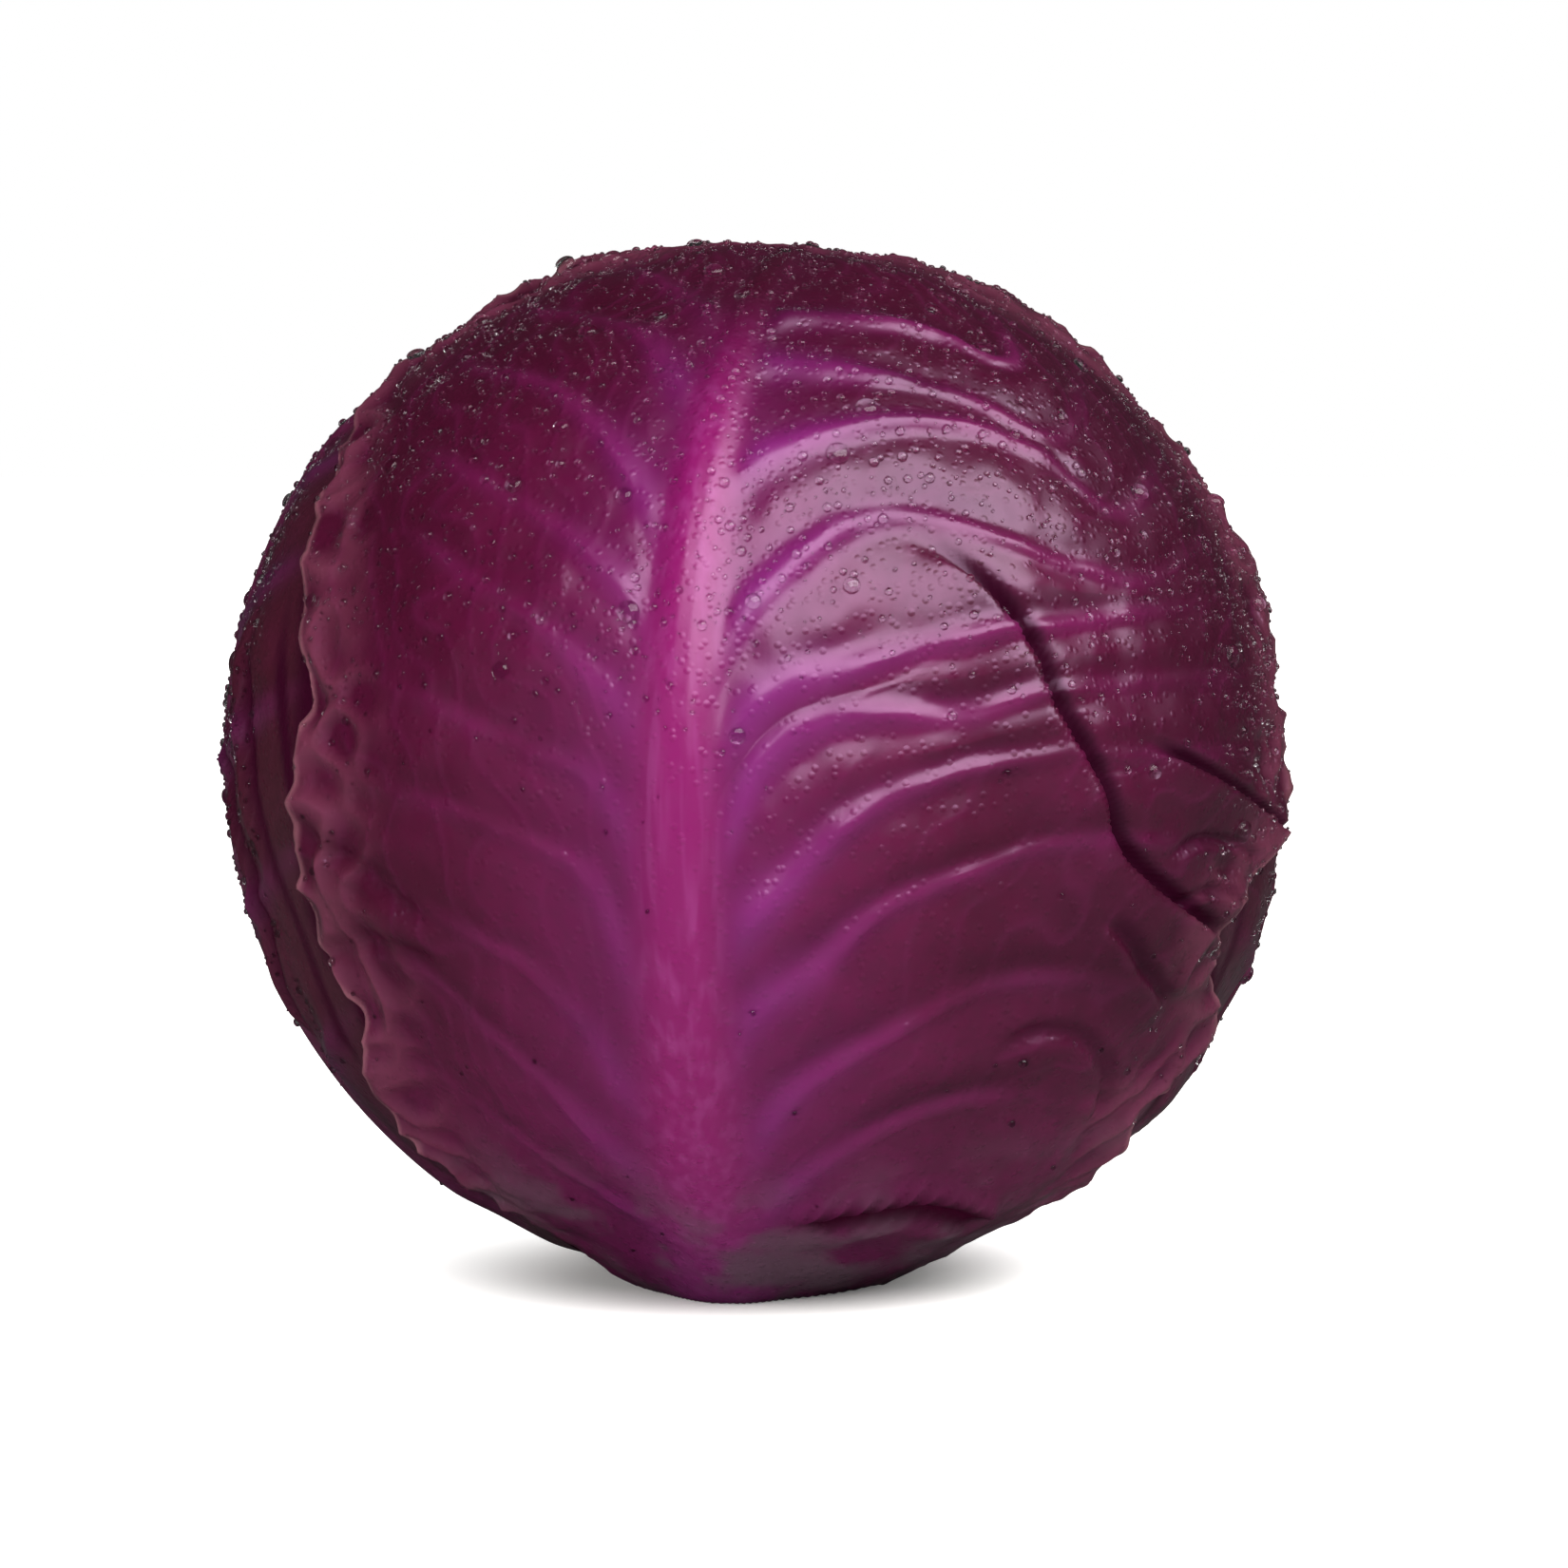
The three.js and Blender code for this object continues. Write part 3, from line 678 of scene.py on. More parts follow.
def grow_leaf(k):
    leaf = LEAVES[k]
    x, y, row, t, side = flat_leaf(leaf)
    d = wrap(leaf, x, y)
    seen = exposure(k, d)
    height, looks, shift = leaf_relief(k, leaf, x, y, row, t, side, d)
    lift, edge = margin_lift(leaf, d, row, looks["share"])
    base = layer_radius(k, d) + seen * lift
    thick = BLADE - THINNER_AT_EDGE * edge
    centre = np.array((0, 0, CENTRE_HEIGHT))
    moved = wrap(leaf, x + seen * shift[0], y + seen * shift[1])
    outer = moved * (base + seen * height)[..., None] + centre
    inner = d * (base - thick)[..., None] + centre
    for face in (outer, inner):
        face[..., 2] = np.maximum(face[..., 2], 0)
    vertices, faces = closed_sheet(outer, inner)
    piece = new_object(leaf["node"] + "_fine", vertices, faces)
    # Painted shade on a leaf just beyond the margin of each leaf that covers it.
    shade_under_cover = np.zeros(x.shape)
    for cover in LEAVES[:k]:
        shade_under_cover = np.maximum(shade_under_cover, 1 - smoothstep(3 * MM, 9 * MM, outside(cover, d)))
    looks["crease_shade"] = np.maximum(looks["crease_shade"], 0.9 * shade_under_cover)
    # Painted highlight: the thin rim is painted lighter, as where it catches the light.
    looks["edge"] = edge
    looks["open"] = seen
    for name, values in looks.items():
        under = values[::COARSE, ::COARSE].ravel() * (name != "open")
        store(piece, name, np.concatenate((values.ravel(), under)))
    return piece


leaves = [grow_leaf(k) for k in range(len(LEAVES))]
for piece in leaves:
    print(piece.name, triangles(piece), "triangles")

# %% [markdown]
# All the leaves grow from the stem, so each one's foot ends at the stump. A knife would leave them flush with
# it, and a Boolean cuts the same way: a plain cylinder, a little wider than the stump, is taken out of every
# leaf, and the vein and rib values stay on the vertices that are left.

# %% Cutting the leaves' feet at the stem
def cylinder(name, radius, low, high, sides=96):
    bpy.ops.mesh.primitive_cylinder_add(
        vertices=sides, radius=radius, depth=high - low, location=(0, 0, (low + high) / 2)
    )
    tool = bpy.context.object
    tool.name = name
    tool.data.transform(tool.matrix_world)
    tool.matrix_world.identity()
    return tool


def settle(piece):
    """Turns a piece's modifiers into plain mesh."""
    graph = bpy.context.evaluated_depsgraph_get()
    mesh = bpy.data.meshes.new_from_object(piece.evaluated_get(graph))
    piece.modifiers.clear()
    piece.data = mesh
    return piece


def cut(piece, tool):
    modifier = piece.modifiers.new("cut", "BOOLEAN")
    modifier.operation = "DIFFERENCE"
    modifier.object = tool
    modifier.solver = "MANIFOLD"
    return settle(piece)


stem_room = cylinder("stem_room", STEM_RADIUS + CLEARANCE, -5 * MM, STEM_HEIGHT + CLEARANCE)
for piece in leaves:
    cut(piece, stem_room)
    print(piece.name, triangles(piece), "triangles after the cut")

# %% [markdown]
# The heart is what a knife finds under the wrappers: inner leaves packed so tightly that they make one ball.
# Nothing of it shows on a closed head, so a subdivided ball shaped by the same rules as the leaves is enough.

# %% The heart
def grow_heart():
    bpy.ops.mesh.primitive_ico_sphere_add(subdivisions=6, radius=1)
    piece = bpy.context.object
    piece.name = "heart_fine"
    points = np.empty(len(piece.data.vertices) * 3)
    piece.data.vertices.foreach_get("co", points)
    d = points.reshape(-1, 3)
    d = d / np.linalg.norm(d, axis=1, keepdims=True)
    placed = d * (layer_radius(len(LEAVES), d) - HEART_EASE)[:, None] + (0, 0, CENTRE_HEIGHT)
    piece.data.vertices.foreach_set("co", placed.ravel())
    piece.data.shade_smooth()
    return cut(piece, stem_room)


heart = grow_heart()
bpy.data.objects.remove(stem_room)
print("heart:", triangles(heart), "triangles")

# %% [markdown]
# The stump is the lower end of the stem, cut across. It is turned here like a lathe part, ring by ring, and
# the cut face gets the faint parallel ridges that a knife leaves. It rests on the ground on those ridges.

# %% The stump
KNIFE_MARK = 0.06 * MM


def turn_stump(sides=144):
    chamfer = 0.8 * MM
    cut_rings = np.linspace(0, STEM_RADIUS - chamfer, 22)[1:]
    radii = np.concatenate((cut_rings, (STEM_RADIUS,) * 6, (STEM_RADIUS - chamfer,), cut_rings[-2::-6]))
    side_heights = np.linspace(chamfer, STEM_HEIGHT - chamfer, 6)
    top = STEM_HEIGHT * np.ones(len(radii) - len(cut_rings) - 6)
    heights = np.concatenate((np.zeros(len(cut_rings)), side_heights, top))
    angle = np.linspace(0, 2 * math.pi, sides, endpoint=False)
    x = radii[:, None] * np.cos(angle)
    y = radii[:, None] * np.sin(angle)
    z = np.repeat(heights[:, None], sides, 1)
    strokes = np.sin((x * 0.8 + y * 0.6) / (0.35 * MM) + 2 * np.sin(y / (4 * MM)))
    z[: len(cut_rings)] += (KNIFE_MARK * (1 + strokes))[: len(cut_rings)]
    rings = np.stack((x, y, z), -1)
    rows = len(radii)
    vertices = np.concatenate((rings.reshape(-1, 3), [(0, 0, KNIFE_MARK), (0, 0, STEM_HEIGHT)]))
    low, high = rows * sides, rows * sides + 1
    faces = []
    for j in range(sides):
        n = (j + 1) % sides
        faces.append((low, n, j))
        faces.append((high, (rows - 1) * sides + j, (rows - 1) * sides + n))
        for i in range(0, (rows - 1) * sides, sides):
            faces.append((i + j, i + n, i + sides + n, i + sides + j))
    return new_object("stem_stump_fine", vertices, faces)


stump = turn_stump()
print("stump:", triangles(stump), "triangles")

# %% [markdown]
# Materials. Colours are written as they look on a screen and turned into the linear values that the shader
# adds up. One helper adds a node and sets its sockets, so that each material below reads as a short list.

# %% Helpers for materials
def colour(code):
    """A screen colour such as 8a2771 as linear red, green, blue and alpha."""
    parts = [int(code[i : i + 2], 16) / 255 for i in (0, 2, 4)]
    return (*[c / 12.92 if c <= 0.04045 else ((c + 0.055) / 1.055) ** 2.4 for c in parts], 1)


def material(name):
    made = bpy.data.materials.new(name)
    made.use_nodes = True
    made.node_tree.nodes.clear()
    return made, made.node_tree


def add(tree, kind, settings=None, **sockets):
    """Adds a node. A socket goes by its name, or by its number as n0 or n1, and takes a number, a colour,
    an output, or a node, whose first output is used."""
    node = tree.nodes.new(kind)
    for key, value in (settings or {}).items():
        setattr(node, key, value)
    in_use = [socket for socket in node.inputs if socket.enabled]
    for key, value in sockets.items():
        name = key.replace("_", " ")
        socket = in_use[int(name[1:])] if name[1:].isdigit() else next(s for s in in_use if s.name == name)
        if isinstance(value, bpy.types.Node):
            value = next(s for s in value.outputs if s.enabled)
        if isinstance(value, bpy.types.NodeSocket):
            tree.links.new(value, socket)
        else:
            socket.default_value = value
    return node


MIX = {"data_type": "RGBA"}
EASE = {"interpolation_type": "SMOOTHSTEP"}
TIMES = {"operation": "MULTIPLY"}
print("8a2771 is", [round(c, 3) for c in colour("8a2771")[:3]], "in linear light")

# %% [markdown]
# A red cabbage leaf is plum where the blade is thin, magenta along the midrib and violet at the roots of the
# veins, where thick pale flesh lies under the purple skin. Towards its foot it turns greyish, partly because
# the wax is thickest there and partly as a painted reflection of the floor, and its crumpled margin dries to
# brown.
# Light and shade are painted on too: shade in the gaps, beside the veins and towards the margins, and a
# highlight on the thin rim. The values stored on the leaves say where those places are, so the colours are
# laid on one after the other, as a painter would glaze them.

# %% The colours of the skin
# The colour of the painted shade in gaps.
GAP_SHADE = "2a0418"
# Each layer has the stored value that says where it lies, how much of it there is at most, and its colour.
BLADE_LAYERS = (
    # outer is painted shade towards the margins.
    ("outer", 0.9, "2e0618"),
    ("grain", 1.0, "300215"),
    ("rungs", 0.2, "560e3a"),
    # Painted shadow beside each side vein.
    ("vein_shadow", 0.5, "2a0213"),
)
# Thick flesh under the skin shows violet beside the midrib and at the roots of the veins.
FLESH_LAYERS = (
    ("glow", 0.55, "5f0f4a"),
    ("vein_end", 0.38, "6c1550"),
    ("vein", 0.8, "6b1a62"),
)
# Grey near the foot is partly thick wax and partly a painted reflection of the floor. Dry skin, partly
# painted shade, and crumpled margins are brown, the thin rim gets a painted highlight, and gaps get painted
# shade, almost black.
WORN_LAYERS = (
    ("wax_bloom_and_reflection", 1.0, "52404b"),
    ("dry_skin_and_shade", 0.62, "311318"),
    ("worn", 0.45, "6c3648"),
    ("edge", 0.55, "94606a"),
    ("crease_shade", 1.0, GAP_SHADE),
)
ATTRIBUTES = ("share", "outer", "rungs", "vein_shadow", "glow", "vein_end", "vein", "rib", "dry_skin_and_shade", "worn",
              "edge", "crease_shade")
print("layers on the skin:", len(BLADE_LAYERS + FLESH_LAYERS + WORN_LAYERS) + 1)

# %% [markdown]
# Under those layers the skin is one plain plum, a little uneven, painted lighter towards the foot as painted
# light and darkest at the top as painted shade. The wax over it is satin, and a mist of water too fine to
# model stands on it. Real mist drops are 0.1 to 0.3 mm across, which the picture can't show, so they are
# drawn as domes of 0.7 mm. The coat stands for the film of water, and its roughness is that of the mist.

# %% The leaf's material
def leaf_material():
    made, tree = material("wet_red_cabbage_leaf")
    place = add(tree, "ShaderNodeTexCoord").outputs["Object"]
    at = {n: add(tree, "ShaderNodeAttribute", {"attribute_name": n}).outputs["Fac"] for n in ATTRIBUTES}
    share = at["share"]
    patches = add(tree, "ShaderNodeTexNoise", Vector=place, Scale=1 / (24 * MM), Detail=3.0)
    grain = add(tree, "ShaderNodeTexNoise", Vector=place, Scale=1 / (2.4 * MM), Detail=5.0)
    clouds = add(tree, "ShaderNodeTexNoise", Vector=place, Scale=1 / (11 * MM), Detail=3.0)
    patchy = add(tree, "ShaderNodeMapRange", EASE, Value=patches, From_Min=0.35, From_Max=0.65)
    at["grain"] = add(tree, "ShaderNodeMapRange", EASE, Value=grain, From_Min=0.35, From_Max=0.8, To_Max=0.3)
    cloudy = add(tree, "ShaderNodeMapRange", EASE, Value=clouds, From_Min=0.42, From_Max=0.64, To_Max=0.85)
    # Grey near the foot: partly the wax's bloom, partly a painted reflection of the white floor.
    waxy = add(tree, "ShaderNodeMapRange", EASE, Value=share, From_Min=0.27, From_Max=0.12)
    at["wax_bloom_and_reflection"] = add(tree, "ShaderNodeMath", TIMES, n0=cloudy, n1=waxy)
    # Painted light: the blade is lighter low down.
    low = add(tree, "ShaderNodeMapRange", EASE, Value=share, From_Min=0.45, From_Max=0.14, To_Max=0.7)
    # Painted shade: the blade is darker high up.
    high = add(tree, "ShaderNodeMapRange", EASE, Value=share, From_Min=0.6, From_Max=0.8, To_Max=0.7)
    skin = add(tree, "ShaderNodeMix", MIX, Factor=patchy, A=colour("3c041e"), B=colour("490629"))
    skin = add(tree, "ShaderNodeMix", MIX, Factor=low, A=skin, B=colour("4c0f33"))
    skin = add(tree, "ShaderNodeMix", MIX, Factor=high, A=skin, B=colour("2c0214"))

    # The midrib is magenta, duller and more violet towards its foot, with fibres 1.8 mm apart along it.
    foot = add(tree, "ShaderNodeMapRange", EASE, Value=share, From_Min=0.04, From_Max=0.3)
    rib_skin = add(tree, "ShaderNodeMix", MIX, Factor=foot, A=colour("641f56"), B=colour("6e0a4f"))
    drawn_out = add(tree, "ShaderNodeVectorMath", {"operation": "MULTIPLY"}, n0=place, n1=(1, 1, 0.08))
    fibres = add(tree, "ShaderNodeTexNoise", Vector=drawn_out, Scale=1 / (1.8 * MM), Detail=2.0)
    streaky = add(tree, "ShaderNodeMapRange", EASE, Value=fibres, From_Min=0.42, From_Max=0.72, To_Max=0.28)
    rib_skin = add(tree, "ShaderNodeMix", MIX, Factor=streaky, A=rib_skin, B=colour("8a3a78"))

    layers = [(name, most, colour(code)) for name, most, code in BLADE_LAYERS + FLESH_LAYERS]
    layers.append(("rib", 0.9, rib_skin))
    layers += [(name, most, colour(code)) for name, most, code in WORN_LAYERS]
    for name, most, tone in layers:
        amount = add(tree, "ShaderNodeMath", TIMES, n0=at[name], n1=most)
        skin = add(tree, "ShaderNodeMix", MIX, Factor=amount, A=skin, B=tone)

    # The mist: domes, one for each of the cells of a Voronoi texture.
    cells = add(tree, "ShaderNodeTexVoronoi", Vector=place, Scale=1 / (1.5 * MM))
    mist = add(tree, "ShaderNodeMapRange", EASE, Value=cells, From_Min=0.42, From_Max=0.05)
    dents = add(tree, "ShaderNodeBump", Strength=0.2, Distance=0.12 * MM, Height=grain)
    bumps = add(tree, "ShaderNodeBump", Strength=0.5, Distance=0.16 * MM, Height=mist, Normal=dents)
    rough = add(
        tree, "ShaderNodeMapRange", Value=grain, From_Min=0.25, From_Max=0.75, To_Min=0.28, To_Max=0.4
    )
    shader = add(
        tree, "ShaderNodeBsdfPrincipled", Base_Color=skin, Roughness=rough, Normal=bumps, IOR=1.52,
        Specular_Tint=colour("ffcbfd"), Coat_Weight=0.35, Coat_Roughness=0.25, Coat_IOR=1.33,
    )

    # Painted shade: where the gaps are darkened, the shader gives way to a plain dark diffuse, as deep in a
    # gap nothing shines.
    deep = add(tree, "ShaderNodeMath", TIMES, n0=at["crease_shade"], n1=0.95)
    shade = add(tree, "ShaderNodeBsdfDiffuse", Color=colour(GAP_SHADE))
    surface = add(tree, "ShaderNodeMixShader", n0=deep, n1=shader, n2=shade)
    add(tree, "ShaderNodeOutputMaterial", Surface=surface)
    return made


leaf_skin = leaf_material()
print("leaf material:", len(leaf_skin.node_tree.nodes), "nodes")

# %% [markdown]
# The stem's flesh is pale and fibrous: cream pith in the middle, a ring of denser strands about two thirds of
# the way out, and a thin purple rind. Cut some days ago, it has browned in patches. The packed inner leaves
# of the heart are plain satin purple, a little uneven. Water is clear and lets most light through, so its
# shadow
# is only a faint one: solid shadows would make black dots of the beads.

# %% The materials of the stump, the heart and the water
def stem_material():
    made, tree = material("cut_stem_flesh")
    place = add(tree, "ShaderNodeTexCoord").outputs["Object"]
    flat = add(tree, "ShaderNodeVectorMath", {"operation": "MULTIPLY"}, n0=place, n1=(1, 1, 0))
    radius = add(tree, "ShaderNodeVectorMath", {"operation": "LENGTH"}, n0=flat).outputs["Value"]
    patches = add(tree, "ShaderNodeTexNoise", Vector=place, Scale=1 / (6 * MM), Detail=3.0)
    browned = add(tree, "ShaderNodeMapRange", EASE, Value=patches, From_Min=0.35, From_Max=0.7)
    flesh = add(tree, "ShaderNodeMix", MIX, Factor=browned, A=colour("d9cbb6"), B=colour("b8977a"))
    begins = add(tree, "ShaderNodeMapRange", EASE, Value=radius, From_Min=8 * MM, From_Max=10 * MM)
    stops = add(tree, "ShaderNodeMapRange", EASE, Value=radius, From_Min=12.5 * MM, From_Max=10.5 * MM)
    ring = add(tree, "ShaderNodeMath", TIMES, n0=begins, n1=stops)
    fibres = add(tree, "ShaderNodeTexNoise", Vector=place, Scale=1 / (0.9 * MM), Detail=2.0)
    speckle = add(tree, "ShaderNodeMapRange", EASE, Value=fibres, From_Min=0.45, From_Max=0.6)
    strands = add(tree, "ShaderNodeMath", TIMES, n0=ring, n1=speckle)
    flesh = add(tree, "ShaderNodeMix", MIX, Factor=strands, A=flesh, B=colour("8f6268"))
    rind = add(tree, "ShaderNodeMapRange", EASE, Value=radius, From_Min=13.4 * MM, From_Max=14.6 * MM)
    flesh = add(tree, "ShaderNodeMix", MIX, Factor=rind, A=flesh, B=colour("5f2550"))
    bumps = add(tree, "ShaderNodeBump", Strength=0.5, Distance=0.15 * MM, Height=speckle)
    shader = add(tree, "ShaderNodeBsdfPrincipled", Base_Color=flesh, Roughness=0.6, Normal=bumps)
    add(tree, "ShaderNodeOutputMaterial", Surface=shader)
    return made


def heart_material():
    made, tree = material("packed_inner_leaves")
    place = add(tree, "ShaderNodeTexCoord").outputs["Object"]
    patches = add(tree, "ShaderNodeTexNoise", Vector=place, Scale=1 / (20 * MM), Detail=3.0)
    tone = add(tree, "ShaderNodeMix", MIX, Factor=patches, A=colour("56153f"), B=colour("7a3468"))
    shader = add(tree, "ShaderNodeBsdfPrincipled", Base_Color=tone, Roughness=0.45)
    add(tree, "ShaderNodeOutputMaterial", Surface=shader)
    return made


def water_material():
    made, tree = material("clear_water")
    shader = add(
        tree, "ShaderNodeBsdfPrincipled", Base_Color=colour("ffffff"), Roughness=0.0, IOR=1.333,
        Transmission_Weight=1.0,
    )
    clear = add(tree, "ShaderNodeBsdfTransparent", Color=colour("dadada"))
    shadows = add(tree, "ShaderNodeLightPath").outputs["Is Shadow Ray"]
    surface = add(tree, "ShaderNodeMixShader", n0=shadows, n1=shader, n2=clear)
    add(tree, "ShaderNodeOutputMaterial", Surface=surface)
    return made


for piece in leaves:
    piece.data.materials.clear()
    piece.data.materials.append(leaf_skin)
stump.data.materials.append(stem_material())
heart.data.materials.clear()
heart.data.materials.append(heart_material())
water = water_material()
print("materials:", [m.name for m in bpy.data.materials])

# %% [markdown]
# Water stands on the wax in beads, from specks to drops a few millimetres across. They are scattered by
# Geometry Nodes: points at random on the leaf's open outside, no two closer than a bead, a squashed ball of
# a few dozen faces on each, turned to the surface. The tree ends in real mesh, as instances aren't exported.

# %% The tree that scatters water
def water_tree():
    tree = bpy.data.node_groups.new("scatter_water", "GeometryNodeTree")
    panel = tree.interface
    panel.new_socket("Geometry", in_out="INPUT", socket_type="NodeSocketGeometry")
    for name in ("Spacing", "Beads per m2", "Smallest", "Largest", "Height"):
        panel.new_socket(name, in_out="INPUT", socket_type="NodeSocketFloat")
    for name in ("Seed", "Sides", "Rings"):
        panel.new_socket(name, in_out="INPUT", socket_type="NodeSocketInt")
    panel.new_socket("Geometry", in_out="OUTPUT", socket_type="NodeSocketGeometry")
    given = add(tree, "NodeGroupInput").outputs
    wet = add(tree, "GeometryNodeInputNamedAttribute", {"data_type": "FLOAT"}, Name="wet")
    points = add(
        tree, "GeometryNodeDistributePointsOnFaces", {"distribute_method": "POISSON"},
        Mesh=given["Geometry"], Distance_Min=given["Spacing"], Density_Max=given["Beads per m2"],
        Density_Factor=wet, Seed=given["Seed"],
    )
    ball = add(tree, "GeometryNodeMeshUVSphere", Segments=given["Sides"], Rings=given["Rings"], Radius=1.0)
    squash = add(tree, "ShaderNodeCombineXYZ", X=1.0, Y=1.0, Z=given["Height"])
    bead = add(tree, "GeometryNodeTransform", Geometry=ball, Scale=squash, Translation=(0, 0, 0.2))
    chance = add(tree, "FunctionNodeRandomValue", {"data_type": "FLOAT"}, Seed=given["Seed"])
    few_large = add(tree, "ShaderNodeMath", {"operation": "POWER"}, n0=chance, n1=2.5)
    size = add(
        tree, "ShaderNodeMapRange", Value=few_large, To_Min=given["Smallest"], To_Max=given["Largest"]
    )
    placed = add(
        tree, "GeometryNodeInstanceOnPoints", Points=points.outputs["Points"], Instance=bead,
        Rotation=points.outputs["Rotation"], Scale=size,
    )
    real = add(tree, "GeometryNodeRealizeInstances", Geometry=placed)
    smooth = add(tree, "GeometryNodeSetShadeSmooth", Geometry=real)
    finish = add(tree, "GeometryNodeSetMaterial", Geometry=smooth, Material=water)
    add(tree, "NodeGroupOutput", Geometry=finish)
    return tree


scatter = water_tree()
print("the water tree takes", [s.name for s in scatter.interface.items_tree if s.in_out == "INPUT"])

# %% [markdown]
# Beads stay where the wax is open to the air, and run off where it is steep and smooth low down, so they are
# closest on the crown and round the shoulders. Each of the three outer leaves gets specks and beads, and a
# few large drops. The smallest real ones are too small and too many, so specks stop at 0.4 mm across.

# %% The beads on each leaf
def wetness(leaf_piece):
    """The share of the full number of beads at each vertex: most on the crown and the shoulders."""
    mesh = leaf_piece.data
    points = np.empty(len(mesh.vertices) * 3)
    mesh.vertices.foreach_get("co", points)
    points = points.reshape(-1, 3)
    seen, crease_shade = np.empty((2, len(mesh.vertices)), np.float32)
    mesh.attributes["open"].data.foreach_get("value", seen)
    mesh.attributes["crease_shade"].data.foreach_get("value", crease_shade)
    height = points[:, 2] / (2 * HEAD_RADIUS)
    forward = -points[:, 1] / HEAD_RADIUS
    patches = smoothstep(-0.9, 0.9, puckers(points, 45 * MM, 5))
    high = smoothstep(0.62, 0.97, height)
    shoulders = smoothstep(0.75, 0.3, forward) * smoothstep(0.15, 0.45, height)
    middle = (0.08 + 0.6 * patches) * (0.03 + 0.97 * smoothstep(0.45, 0.66, height))
    # No beads where another leaf covers this one, nor in the gaps with painted shade.
    return (seen > 0.5) * (crease_shade < 0.3) * np.clip(middle + high + 0.8 * shoulders, 0, 1)


def scatter_beads(name, leaf_piece, **inputs):
    piece = bpy.data.objects.new(name, leaf_piece.data.copy())
    bpy.context.scene.collection.objects.link(piece)
    store(piece, "wet", wetness(leaf_piece))
    modifier = piece.modifiers.new("water", "NODES")
    modifier.node_group = scatter
    sockets = {s.name: s.identifier for s in scatter.interface.items_tree if s.in_out == "INPUT"}
    for key, value in inputs.items():
        modifier[sockets[key.replace("_", " ")]] = value
    settle(piece)
    print(name, triangles(piece), "triangles")
    return piece


INPUTS = ("Spacing", "Beads_per_m2", "Smallest", "Largest", "Height", "Sides", "Rings")
WATER = {
    "specks": (0.75 * MM, 210000.0, 0.2 * MM, 0.36 * MM, 0.8, 5, 3),
    "beads": (1.2 * MM, 170000.0, 0.34 * MM, 0.8 * MM, 0.7, 7, 5),
    "drops": (8 * MM, 5000.0, 1.1 * MM, 1.8 * MM, 0.5, 18, 9),
}
WET_LEAVES = 3
beads = []
for k in range(WET_LEAVES):
    for number, (kind, sizes) in enumerate(WATER.items()):
        name = LEAVES[k]["node"].replace("leaf", "water_" + kind + "_on_leaf")
        beads.append(scatter_beads(name, leaves[k], Seed=7 + 10 * k + number, **dict(zip(INPUTS, sizes))))

# %% [markdown]
# The pieces are tied to the frame: each finer piece stands for the solid that it was grown from.

# %% Pieces and frame
for leaf, piece in zip(LEAVES, leaves):
    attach(piece, "root")
    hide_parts(leaf["node"])
for piece, node, slot in ((heart, "heart", "heart_leaf"), (stump, "stem_stump", "stem_flesh")):
    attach(piece, "root")
    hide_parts(node)
for piece in beads:
    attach(piece, "root")
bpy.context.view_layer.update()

# %% [markdown]
# The picture is a plain studio shot: a white floor that runs into a white ground, one large soft box high on
# the right, whose reflection is the pale patch on the leaf, and soft fills from the left and from behind. The
# fills aren't mirrored, and the surroundings are dim to reflections, as in a studio with dark walls, so that
# the rim of the head stays dark.

# %% The lights
def soft_box(name, toward, distance, size, power, mirrored=True):
    """A rectangular light in a direction from the head's centre, facing it; one that may be mirrored."""
    lamp = bpy.data.lights.new(name, "AREA")
    lamp.shape = "RECTANGLE"
    lamp.size, lamp.size_y = size
    lamp.energy = power
    box = bpy.data.objects.new(name, lamp)
    bpy.context.scene.collection.objects.link(box)
    away = np.array(toward) / np.linalg.norm(toward)
    box.location = away * distance + (0, 0, CENTRE_HEIGHT)
    box.rotation_mode = "QUATERNION"
    box.rotation_quaternion = Vector(away).to_track_quat("Z", "Y")
    box.visible_glossy = mirrored
    box.visible_transmission = mirrored
    return box


soft_box("key_soft_box", (0.42, -0.56, 0.71), 1.0, (1.55, 0.82), 25)
soft_box("left_fill", (-1.0, -0.9, 0.05), 1.8, (1.6, 1.6), 35, mirrored=False)
soft_box("back_fill", (0.1, 1.0, -0.02), 1.8, (1.6, 1.6), 12, mirrored=False)

# %% [markdown]
# A white ground in a photograph is lit until it is pure white, but walls as bright as that would lie as a
# milky haze on a satin leaf. So the surroundings are white to the camera, grey to plain surfaces, and almost
# black to reflections.

# %% The white surroundings
world = bpy.data.worlds.new("white_studio")
bpy.context.scene.world = world
world.use_nodes = True
tree = world.node_tree
tree.nodes.clear()
seen_white = add(tree, "ShaderNodeBackground", Color=colour("ffffff"), Strength=1.0)
walls = add(tree, "ShaderNodeBackground", Color=colour("fffefd"), Strength=0.35)
walls_mirrored = add(tree, "ShaderNodeBackground", Color=colour("fffefd"), Strength=0.02)
rays = add(tree, "ShaderNodeLightPath").outputs
sky = add(tree, "ShaderNodeMixShader", n0=rays["Is Glossy Ray"], n1=walls, n2=walls_mirrored)
sky = add(tree, "ShaderNodeMixShader", n0=rays["Is Camera Ray"], n1=sky, n2=seen_white)
add(tree, "ShaderNodeOutputWorld", Surface=sky)
print("surroundings:", len(tree.nodes), "nodes")

# %% [markdown]
# The head stands on white paper, matt and a little warm. Near the head it takes a soft shadow, and further
# off it has to run into the white ground with no edge, so it glows there as well.

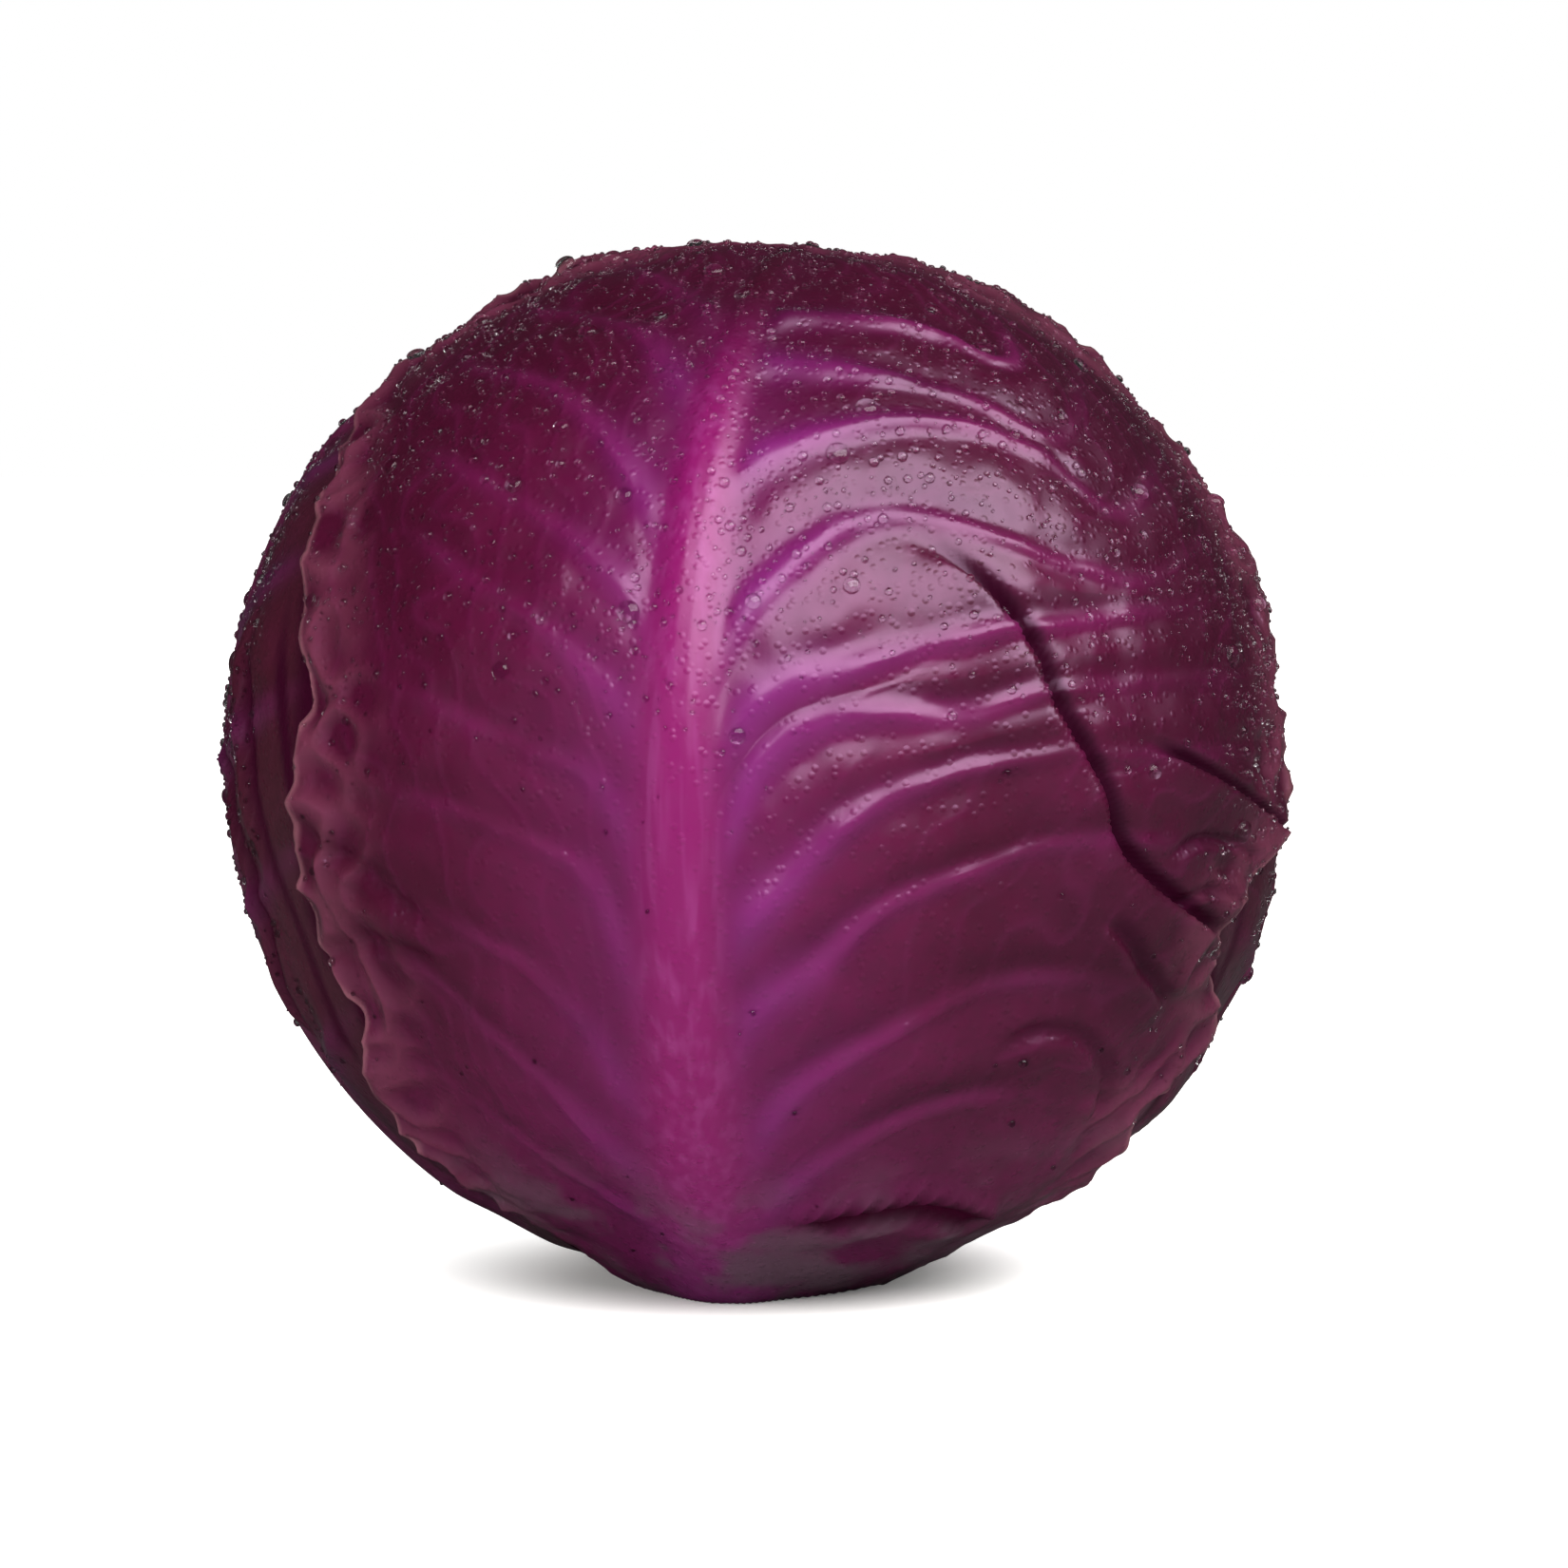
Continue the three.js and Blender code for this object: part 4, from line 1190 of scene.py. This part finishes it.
# %% The paper
def paper_material():
    """Plain paper near the head, glowing further off, and dim to reflections, as the surroundings are."""
    made, tree = material("white_paper")
    place = add(tree, "ShaderNodeTexCoord").outputs["Object"]
    away = add(tree, "ShaderNodeVectorMath", {"operation": "LENGTH"}, n0=place).outputs["Value"]
    far = add(tree, "ShaderNodeMapRange", EASE, Value=away, From_Min=0.02, From_Max=0.06, To_Min=0.1)
    rays = add(tree, "ShaderNodeLightPath").outputs
    lit = add(tree, "ShaderNodeBsdfDiffuse", Color=colour("f4f1ed"))
    bright = add(tree, "ShaderNodeEmission", Color=colour("ffffff"), Strength=far)
    seen = add(tree, "ShaderNodeAddShader", n0=lit, n1=bright)
    dim = add(tree, "ShaderNodeBsdfDiffuse", Color=colour("454545"))
    paper = add(tree, "ShaderNodeMixShader", n0=rays["Is Glossy Ray"], n1=lit, n2=dim)
    paper = add(tree, "ShaderNodeMixShader", n0=rays["Is Camera Ray"], n1=paper, n2=seen)
    add(tree, "ShaderNodeOutputMaterial", Surface=paper)
    return made


JUST_UNDER_THE_HEAD = -0.05 * MM
bpy.ops.mesh.primitive_plane_add(size=6, location=(0, 0, JUST_UNDER_THE_HEAD))
floor = bpy.context.object
floor.name = "white_floor"
floor.data.materials.append(paper_material())
bpy.context.scene.view_settings.view_transform = "Standard"
print("floor:", tuple(round(v, 3) for v in floor.dimensions), "m")

# %% [markdown]
# The camera looks almost level, from about six head-widths away. The head's radius, 550 of the picture's 1650
# pixels, gives the lens, and the place of the head's middle in the picture gives the camera's shift.

# %% The camera
PICTURE = 1650
HEAD_IN_PICTURE = 550
HEAD_MIDDLE_IN_PICTURE = (790, 800)
CAMERA_DISTANCE = 900 * MM
ELEVATION = math.radians(5)
SENSOR_WIDTH = 36
half_angle = math.asin(HEAD_RADIUS / CAMERA_DISTANCE)
focal_in_pixels = HEAD_IN_PICTURE / math.tan(half_angle)
camera = bpy.data.objects.new("camera", bpy.data.cameras.new("camera"))
bpy.context.scene.collection.objects.link(camera)
camera.data.sensor_width = SENSOR_WIDTH
camera.data.lens = SENSOR_WIDTH * focal_in_pixels / PICTURE
metres_per_pixel = CAMERA_DISTANCE / focal_in_pixels
right_shift = (PICTURE / 2 - HEAD_MIDDLE_IN_PICTURE[0]) * metres_per_pixel
down_shift = (PICTURE / 2 - HEAD_MIDDLE_IN_PICTURE[1]) * metres_per_pixel
camera.location = (
    right_shift,
    -CAMERA_DISTANCE * math.cos(ELEVATION),
    CENTRE_HEIGHT - down_shift + CAMERA_DISTANCE * math.sin(ELEVATION),
)
camera.rotation_euler = (math.pi / 2 - ELEVATION, 0, 0)
camera.data.clip_end = 20
bpy.context.scene.camera = camera
print("lens:", round(camera.data.lens, 1), "mm")
